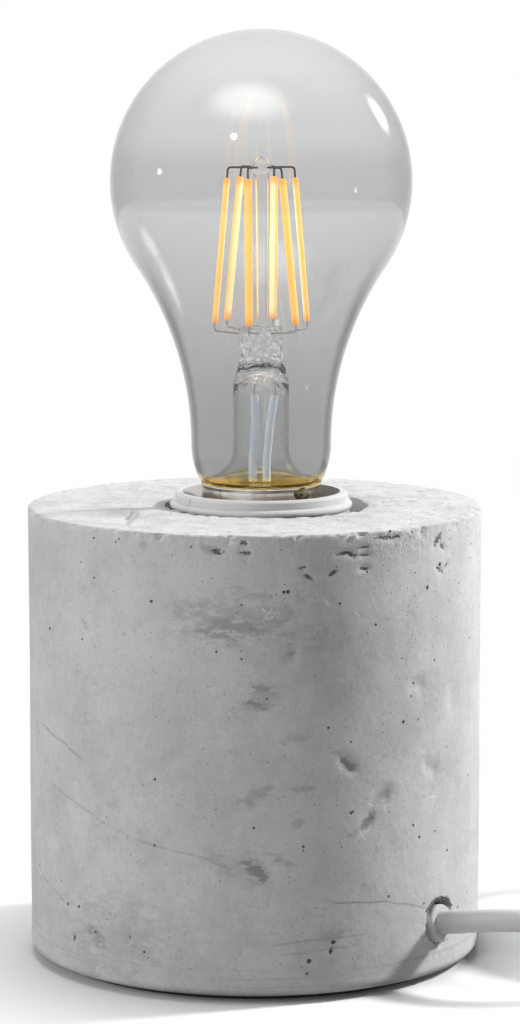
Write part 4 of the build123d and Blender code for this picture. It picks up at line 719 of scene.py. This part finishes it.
def bulb_side(inset):
    """The bulb's outline from its foot to its crown, smaller all round by an inset."""
    ball, neck, foot = BALL_RADIUS - inset, NECK_RADIUS - inset, FOOT_RADIUS - inset
    side, reach = NECK_RADIUS + SHOULDER_RADIUS, BALL_RADIUS + SHOULDER_RADIUS
    drop = sqrt(reach ** 2 - side ** 2)
    neck_height = BULB_MIDDLE - drop
    lean = degrees(atan2(drop, side))
    rise = neck_height - GLASS_FOOT
    step_in = neck - foot
    foot_radius = (step_in ** 2 + rise ** 2) / (2 * step_in)
    foot_angle = degrees(asin(rise / foot_radius))
    line = arc((neck - foot_radius, neck_height), foot_radius, -foot_angle, 0, 10)[:-1]
    shoulder = SHOULDER_RADIUS + inset
    line += arc((neck + shoulder, neck_height), shoulder, 180, 180 - lean, 24)[:-1]
    return line + arc((0, BULB_MIDDLE), ball, -lean, 90, 60)


outer = bulb_side(0)
inner = bulb_side(GLASS_WALL)
outer[-1] = (0.0, outer[-1][1])
inner[-1] = (0.0, inner[-1][1])
envelope = turned("bulb_envelope", outer + inner[::-1], 128, sharp=70)
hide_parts("bulb_glass")
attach(envelope, "bulb")
glass = Paint("blown_glass", Transmission_Weight=1.0, IOR=1.47, Roughness=0.0)
facing = glass.node("ShaderNodeLayerWeight", {}, {"Blend": 0.35}, "Facing")
level = glass.axis(2)
# Painted light on the glass: lighter at the crown as a painted highlight, darker in the neck and in a band
# across the ball as painted shade and reflection, and darker towards its edges, near black low on the ball,
# as painted shade.
crown = glass.mix(glass.ease(level, 180, 203), grey(0.79, -0.002), grey(0.92, -0.002))
neck = glass.ease(level, 175, 112)
painted_band_reflection = glass.ease(level, 164.6, 166.4) * glass.ease(level, 182, 173)
painted_edge_shade = glass.ease(facing, 0.40, 0.62) * glass.ease(level, 163, 140)
tint_and_painted_light = glass.mix(facing * facing, crown, grey(0.44, -0.003))
tint_and_painted_light = glass.mix(neck * 0.60 + painted_band_reflection * 0.22, tint_and_painted_light, grey(0.42, -0.003))
tint_and_painted_light = glass.mix(painted_edge_shade, tint_and_painted_light, grey(0.06))
creep = level + glass.cloud(5, 4, 0.6) * 2.4
amber = glass.ease(creep, 109.0, 107.8) * glass.ease(glass.axis(1), 8, -4)
glass.feed(Base_Color=glass.mix(amber, tint_and_painted_light, (0.96, 0.74, 0.30, 1)))
finish(envelope, glass)
envelope.visible_shadow = False

# Stem: a flared tube sealed into the foot of the neck, pinched at its top round the wires while hot.
# A clear rod stands on the pinch and carries a bead that the top wires are set in.
TUBE_HIGH, PINCH_LOW, PINCH_HIGH = 127.8, 131.2, 139.4
STEM_RADIUS, STEM_BORE, STEM_SEAL = 6.15, 5.25, 12.35
PINCH_WIDE, PINCH_THICK, PINCH_ROUND = 4.5, 2.1, 0.8
ROD_RADIUS, BEAD_RADIUS = 1.65, 2.3


def pinched(point):
    """Tube above its top squeezed from a circle to a flat, lumpy pinch."""
    share = ease(point.z, TUBE_HIGH - 1.0, PINCH_LOW + 0.6)
    if share <= 0 or point.xy.length < 0.01:
        return point
    angle = atan2(point.y, point.x)
    size = point.xy.length / STEM_RADIUS
    wide = PINCH_WIDE * copysign(abs(cos(angle)) ** 0.6, cos(angle)) * size
    thick = PINCH_THICK * copysign(abs(sin(angle)) ** 0.6, sin(angle)) * size
    lumps = share * (0.9 * grain(point, 2.0, 31) + 0.45 * grain(point, 0.9, 32))
    out = Vector((cos(angle), sin(angle), 0)) * lumps
    return Vector((point.x + (wide - point.x) * share, point.y + (thick - point.y) * share, point.z)) + out


flare_out = arc((12.4, GLASS_FOOT + 7.6), 6.25, 180, 262, 12)
stem_outline = [(STEM_SEAL, GLASS_FOOT), (STEM_SEAL, GLASS_FOOT + 0.7)]
stem_outline += [(x, GLASS_FOOT + 0.9 + (z - GLASS_FOOT - 1.35) * 1.07) for x, z in reversed(flare_out)]
stem_outline += run((STEM_RADIUS, 113.5), (STEM_RADIUS, TUBE_HIGH), 2.0)
stem_outline += run((STEM_RADIUS, TUBE_HIGH), (STEM_RADIUS, PINCH_HIGH - PINCH_ROUND), 0.5)
stem_outline += arc((STEM_RADIUS - PINCH_ROUND, PINCH_HIGH - PINCH_ROUND), PINCH_ROUND, 0, 90, 5)
stem_outline += [(0.0, PINCH_HIGH)]
stem_outline += [(0.0, TUBE_HIGH + 0.6), (3.0, TUBE_HIGH), (4.6, TUBE_HIGH - 1.4)]
stem_outline += run((STEM_BORE, TUBE_HIGH - 3.4), (STEM_BORE, 113.0), 2.0)
stem_outline += [(5.5, 111.0), (6.6, 108.4), (8.4, 106.5), (10.4, 105.5)]
stem = turned("glass_stem", stem_outline, 72, pinched)
clear = Paint("clear_glass_rod", Transmission_Weight=1.0, IOR=1.5, Roughness=0.0, Emission_Strength=0.35)
# Painted light: the glass is painted darker towards its edges as painted shade, and the pinch glows in white
# spots as painted glints of its bubbles.
edge = clear.node("ShaderNodeLayerWeight", {}, {"Blend": 0.4}, "Facing")
squeezed = clear.ease(clear.axis(2), 126, 131) * clear.ease(clear.axis(2), 142, 139)
painted_bubble_glints = clear.ease(clear.cloud(1.3, 3, 0.6, 1.2), 0.52, 0.68) * squeezed
clear.feed(Base_Color=clear.mix(edge, grey(0.97), grey(0.80)),
           Emission_Color=clear.mix(painted_bubble_glints, grey(0.0), grey(1.0)))
rod_outline = [(0.0, PINCH_HIGH), (ROD_RADIUS, PINCH_HIGH)]
rod_outline += run((ROD_RADIUS, PINCH_HIGH + 0.1), (ROD_RADIUS, 171.8), 4.0)
rod_outline += [(1.75, 172.4)] + arc((0, 174.0), BEAD_RADIUS, -40, 88, 14) + [(0.0, 176.3)]
rod = turned("glass_rod", rod_outline, 48)
for piece, node in ((stem, "stem_tube"), (rod, "support_rod")):
    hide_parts(node)
    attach(piece, "bulb")
    finish(piece, clear)
    piece.visible_shadow = False

# Filaments: six sticks of small chips on a strip, each dipped in yellow phosphor with a paler line along it,
# and set in a ring that leans in to the bead. All of them are the same stick turned round the axis.
FOOT_RING, TOP_RING = 10.5, 7.5
TWIST = 8
FILAMENT_FOOT = front(TWIST) * FOOT_RING + UP * 140.2
FILAMENT_TOP = Vector((0, -TOP_RING, 171.7))
RING_TURN = radians(-22.5)


def ring_of_sticks(name, sections, count, steps=16):
    """Rods from a filament's foot to its top, from shares of its length and half widths, with a UV map.
    They are set in a ring round the holder's axis."""
    grid = bmesh.new()
    layer = grid.loops.layers.uv.new("UVMap")
    lean = (FILAMENT_TOP - FILAMENT_FOOT).normalized()
    depth = Vector((1, 0, 0)).cross(lean)
    length = (FILAMENT_TOP - FILAMENT_FOOT).length
    for number in range(count):
        spin = Matrix.Rotation(RING_TURN + tau * number / count, 3, "Z")
        rows = []
        for along, wide, thick in sections:
            middle = FILAMENT_FOOT + lean * length * along
            row = []
            for step in range(steps):
                angle = tau * step / steps
                spot = middle + Vector((wide * cos(angle), 0, 0)) + depth * thick * sin(angle)
                row.append(grid.verts.new((HOLDER_AXIS + spin @ spot) * MM))
            rows.append(row)
        for index, (lower, upper) in enumerate(zip(rows, rows[1:])):
            low, high = sections[index][0], sections[index + 1][0]
            for step in range(steps):
                after = (step + 1) % steps
                face = grid.faces.new((lower[step], lower[after], upper[after], upper[step]))
                left, right = step / steps, (step + 1) / steps
                for loop, uv in zip(face.loops, ((left, low), (right, low), (right, high), (left, high))):
                    loop[layer].uv = uv
        grid.faces.new(rows[0][::-1])
        grid.faces.new(rows[-1])
    bmesh.ops.recalc_face_normals(grid, faces=grid.faces)
    return meshed(name, grid, 50)


# The sticks glow a little though the bulb is unlit: painted light that keeps them bright behind the glass.
phosphor = Paint("yellow_phosphor", Emission_Strength=0.9)
strip = phosphor.node("ShaderNodeTexCoord", {}, {}, "UV")
around = phosphor.axis(0, strip)
along = phosphor.axis(1, strip)
pale = phosphor.ease(abs(around - 0.75), 0.20, 0.04)
ends = phosphor.ease(abs(along - 0.5), 0.42, 0.49)
dab = phosphor.cloud(1.0, 3)
coat = phosphor.mix(pale, (1.0, 0.56, 0.13, 1), (1.0, 0.89, 0.52, 1))
coat = phosphor.mix(ends * 0.7 + dab * 0.1, coat, (0.90, 0.32, 0.03, 1))
phosphor.feed(Base_Color=coat, Emission_Color=coat, Roughness=dab * 0.2 + 0.4,
              Normal=phosphor.bump(dab, 0.05))
STICK_END = [(0.0, 0.5, 0.35), (0.004, 0.72, 0.52), (0.012, 0.86, 0.62), (0.03, 0.9, 0.66)]
far_end = [(1 - along, wide, thick) for along, wide, thick in reversed(STICK_END)]
coated = ring_of_sticks("phosphor_sticks", STICK_END + far_end, 6)
finish(coated, phosphor)
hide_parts(*[f"filament_{number}" for number in range(1, 7)])
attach(coated, "bulb")

# Support wires and leads: fine nickel-iron wire, burnt dark at the hot top and bright below, with the two
# leads in woven glass sleeves down to the driver.
burnt = mottled("burnt_wire", (1.0, 3), (0.035, 0.025, 0.02, 1), (0.12, 0.085, 0.06, 1), (0.4, 0.3),
                Metallic=0.8)
dress(burnt, "top_wires")
bright = mottled("bright_wire", (1.0, 3), grey(0.5), grey(0.8, 0.02), (0.2, 0.2), Metallic=1.0)
dress(bright, "bottom_wires", "lead_wires")
# The sleeves glow a little: painted light that keeps them bright behind the glass.
woven = Paint("woven_sleeve", Sheen_Weight=0.2, Emission_Strength=0.35)
plait = woven.wave("DIAGONAL", 0.5, 1.0)
weave = woven.mix(plait, (0.70, 0.80, 0.90, 1), (0.86, 0.92, 0.97, 1))
woven.feed(Base_Color=weave, Emission_Color=weave, Roughness=plait * 0.1 + 0.5,
           Normal=woven.bump(plait, 0.06))
dress(woven, "wire_sleeves")

# Cord: one round white PVC flex in two lengths, from the lamp to the switch and from the switch to the plug.
# It leaves the base level with a slight lift, and the rest is wound up and tied beside the lamp.
CORD_RADIUS = 2.5
COIL_MIDDLE = (104.0, 5.0)
COIL_RADIUS = 34.0
COIL_PITCH = 5.6
COIL_FLOOR = 3.5
CLIMB_TURN = 0.25
END_NEAR, END_FAR = 5, 16


class Winding:
    """One length of cord that winds in, climbs a layer and winds out again."""

    def __init__(self, start, turns, layer):
        self.start = radians(start)
        self.turns = turns
        self.floor = COIL_FLOOR + layer * COIL_PITCH
        self.inner = COIL_RADIUS - COIL_PITCH * turns / 2

    def point(self, turn):
        past = turn - self.turns / 2
        away = abs(past)
        if away <= CLIMB_TURN:
            away = past ** 2 / (2 * CLIMB_TURN) + CLIMB_TURN / 2
        radius = self.inner + COIL_PITCH * away
        climb = (1 - cos(pi * min(max((past + CLIMB_TURN) / (2 * CLIMB_TURN), 0), 1))) / 2
        angle = self.start + tau * turn
        return Vector((COIL_MIDDLE[0] + radius * cos(angle), COIL_MIDDLE[1] + radius * sin(angle),
                       self.floor + COIL_PITCH * climb))

    def heading(self, turn):
        return (self.point(turn + 0.001) - self.point(turn - 0.001)).normalized()

    def points(self):
        """Straight end, turns and straight end, with a run before and after each end."""
        first, last = self.heading(0), self.heading(self.turns)
        count = round(self.turns * 24)
        line = [self.point(0) - first * END_FAR, self.point(0) - first * END_NEAR]
        line += [self.point(self.turns * step / count) for step in range(count + 1)]
        return line + [self.point(self.turns) + last * END_NEAR, self.point(self.turns) + last * END_FAR]


def on_exit(past):
    """Point of the cord's way out, at a distance past the face of the bush."""
    return BUSH_FACE + (EXIT_SIDE + UP * EXIT_SLOPE) * past


LAMP_ROUTE = [on_exit(0), on_exit(11), (61.5, -42.8, 16.4), (74.5, -43.6, 12.4), (86.0, -39.0, 6.2)]
LAMP_ROUTE += Winding(-75, 3.875, 0).points()
LAMP_ROUTE += [(113.0, -40.8, 9.0), (124.8, -46.4, 6.5), (136.8, -46.6, 5.4), (147.2, -41.0, 6.4),
               (153.0, -31.0, 8.0), (153.0, -12.0, 8.0)]
PLUG_ROUTE = [(153.0, 34.0, 8.0), (153.0, 53.0, 8.0), (147.2, 62.2, 7.2), (137.0, 68.2, 7.0),
              (125.0, 68.4, 8.0), (114.2, 62.6, 10.4), (103.6, 52.6, 13.2)]
PLUG_ROUTE += Winding(135, 3.625, 2).points()
PLUG_ROUTE += [(138.6, 32.0, 22.0), (136.2, 45.0, 24.0), (128.2, 56.0, 26.0), (116.0, 62.4, 27.6),
               (102.4, 62.2, 28.8), (90.4, 55.4, 29.6), (82.0, 45.0, 30.05), (82.0, 12.0, 30.05)]


def flex(name, route):
    """Round cord on a smooth curve through its route."""
    curve = bpy.data.curves.new(name, "CURVE")
    curve.dimensions = "3D"
    curve.bevel_depth = 1.0
    curve.bevel_resolution = 5
    curve.resolution_u = 6
    curve.use_fill_caps = True
    line = curve.splines.new("NURBS")
    line.points.add(len(route) - 1)
    for point, spot in zip(line.points, route):
        point.co = (*(Vector(spot) * MM), 1)
        point.radius = CORD_RADIUS * MM
    line.order_u = 3
    line.use_endpoint_u = True
    return placed(name, curve)


vinyl = Paint("white_vinyl", IOR=1.5)
handled = vinyl.cloud(14, 4, 0.6)
scuff = vinyl.cloud(1.8, 4, 0.7)
vinyl.feed(Base_Color=vinyl.mix(vinyl.ease(handled, 0.4, 0.7) * 0.6, grey(0.68, 0.004), grey(0.60, 0.015)),
           Roughness=scuff * 0.25 + 0.3, Normal=vinyl.bump(scuff, 0.03))
dress(vinyl, "inner_cord")
lamp_flex = flex("lamp_flex", LAMP_ROUTE)
plug_flex = flex("plug_flex", PLUG_ROUTE)
for piece in (lamp_flex, plug_flex):
    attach(piece, "lamp_base")
    finish(piece, vinyl)
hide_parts("lamp_lead", "lower_coil", "switch_lead")
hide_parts("coil_lead", "upper_coil", "plug_lead")
PLUG_NODES = ["plug_body", "plug_pins", "pin_sleeves", "plug_relief"]

# Tie round the coil: a soft white strap with a fine ribbed face.
strap = Paint("ribbed_strap")
ribs = strap.wave("Z", 0.5, 0.0)
strap.feed(Base_Color=strap.mix(ribs, grey(0.46), grey(0.58)), Roughness=ribs * 0.1 + 0.55,
           Normal=strap.bump(ribs, 0.1))
dress(strap, "coil_tie")

# In-line switch: two white shells screwed together from below, and a rocker on a steel pin.
# The shells have a fine spark-eroded grain, and the rocker is polished by use.
grained = Paint("grained_white", IOR=1.5)
spark = grained.cloud(0.45, 3, 0.6)
rub = grained.cloud(12, 4)
grained.feed(Base_Color=grained.mix(grained.ease(rub, 0.45, 0.7) * 0.5, grey(0.61, 0.004), grey(0.53, 0.015)),
             Roughness=spark * 0.15 + 0.42, Normal=grained.bump(spark, 0.05))
dress(grained, "switch_lower_shell", "switch_upper_shell")
dress(moulded, "switch_rocker")

# Plug: a flat two-pin plug moulded on the cord, with half-sleeved nickel pins and a grooved strain relief.
dress(grained, "plug_body", "plug_relief")
dress(nickel, "plug_pins")

# Studio, set out in metres: a pale table that fades into a white background, a bright lamp behind at the
# right, a soft overhead panel and a weak panel at the left. Feathered cards give the bulb its bright spots
# and its grey sides. The table fades between two distances in millimetres.
SEEN = ("Is Camera Ray", "Is Glossy Ray", "Is Transmission Ray")
TABLE_RADIUS = 6.0
FADE_START, FADE_END = 49, 98
WORLD_FILL = 0.225
disc = bmesh.new()
bmesh.ops.create_circle(disc, cap_ends=True, radius=TABLE_RADIUS, segments=64)
table = meshed("table", disc)
top = Paint("pale_table", Roughness=0.9)
seen = top.light(*SEEN)
top.feed(Base_Color=top.mix(seen, grey(0.30), grey(0.97)))
away = top.measure("LENGTH", top.spot)
white = top.node("ShaderNodeEmission", {}, {"Color": grey(1.0), "Strength": 1.0})
top.show(top.node("ShaderNodeMixShader", {}, {
    0: seen * top.ease(away, FADE_START, FADE_END), 1: Shade(top, top.surface.outputs[0]), 2: white}))
finish(table, top)

world = bpy.data.worlds.new("studio")
world.use_nodes = True
scene.world = world
sky = Nodes(world.node_tree)
back = world.node_tree.nodes["Background"].inputs
sky.join(back["Color"], grey(1.0))
fill = {"Value": sky.light(*SEEN), "To Min": WORLD_FILL, "To Max": 1.0}
sky.join(back["Strength"], sky.node("ShaderNodeMapRange", {}, fill))


def panel(name, place, size, power):
    """Round soft light that faces the lamp."""
    light = bpy.data.lights.new(name, "AREA")
    light.shape = "DISK"
    light.size = size
    light.energy = power
    lamp = placed(name, light)
    lamp.location = place
    lamp.rotation_euler = (UP * 0.08 - Vector(place)).to_track_quat("-Z", "Y").to_euler()
    lamp.visible_glossy = False
    lamp.visible_transmission = False
    return lamp


key = panel("key_panel", (0.88, 0.24, 0.64), 0.14, 13.6)
panel("overhead_panel", (-0.05, 0.05, 1.15), 0.5, 4.3)
panel("left_panel", (-0.91, -0.36, 0.33), 0.6, 4.7)
key.data.color = (0.975, 0.975, 1.0)
# The plug lies out of the picture between the key panel and the base, and its shadow on the wall is left out.
past_the_key = bpy.data.collections.new("past_the_key")
for piece in PLUG_NODES:
    past_the_key.objects.link(nodes[piece])
for entry in past_the_key.collection_objects:
    entry.light_linking.link_state = "EXCLUDE"
key.light_linking.blocker_collection = past_the_key


def card(name, direction, width, tall, strength):
    """Feathered card a metre from the bulb that only mirrored light meets, so it isn't seen through glass."""
    sheet = bmesh.new()
    layer = sheet.loops.layers.uv.new("UVMap")
    toward = Vector(direction).normalized()
    across = UP.cross(toward).normalized()
    up = toward.cross(across)
    middle = UP * 0.17 + toward
    corners = [(-1, -1), (1, -1), (1, 1), (-1, 1)]
    spots = [middle + across * x * width / 2 + up * y * tall / 2 for x, y in corners]
    face = sheet.faces.new([sheet.verts.new(spot) for spot in spots])
    for loop, corner in zip(face.loops, corners):
        loop[layer].uv = corner
    piece = meshed(name, sheet)
    paint = Paint(name + "_glow")
    spread = paint.measure("LENGTH", paint.node("ShaderNodeTexCoord", {}, {}, "UV"))
    glow = paint.node("ShaderNodeEmission", {}, {"Color": grey(1.0), "Strength": strength})
    clear = paint.node("ShaderNodeBsdfTransparent", {}, {})
    feather = paint.ease(spread, 1.0, 0.2) * paint.light("Glossy Depth")
    paint.show(paint.node("ShaderNodeMixShader", {}, {0: feather, 1: clear, 2: glow}))
    finish(piece, paint)
    piece.visible_camera = False
    piece.visible_diffuse = False
    piece.visible_shadow = False


card("window_card", (-0.13, -0.41, 0.90), 1.3, 0.8, 5.0)
card("lamp_card", (0.73, 0.57, 0.39), 0.34, 0.34, 6.0)
card("front_spark", (-0.33, -0.75, 0.57), 0.11, 0.11, 30.0)
card("left_spark", (-0.99, -0.13, 0.10), 0.08, 0.08, 20.0)
card("right_flag", (0.64, 0.77, 0.05), 1.5, 1.8, 0.72)
card("left_flag", (-0.64, 0.77, 0.05), 1.5, 1.8, 0.72)

# Camera, with the values that place the concrete's marks.
camera_data = bpy.data.cameras.new("camera")
camera_data.lens = LENS
camera_data.sensor_width = SENSOR
camera = placed("camera", camera_data)
camera.location = CAMERA_PLACE * MM
camera.rotation_euler = LOOK
scene.camera = camera
scene.view_settings.view_transform = "Standard"

bpy.context.view_layer.update()
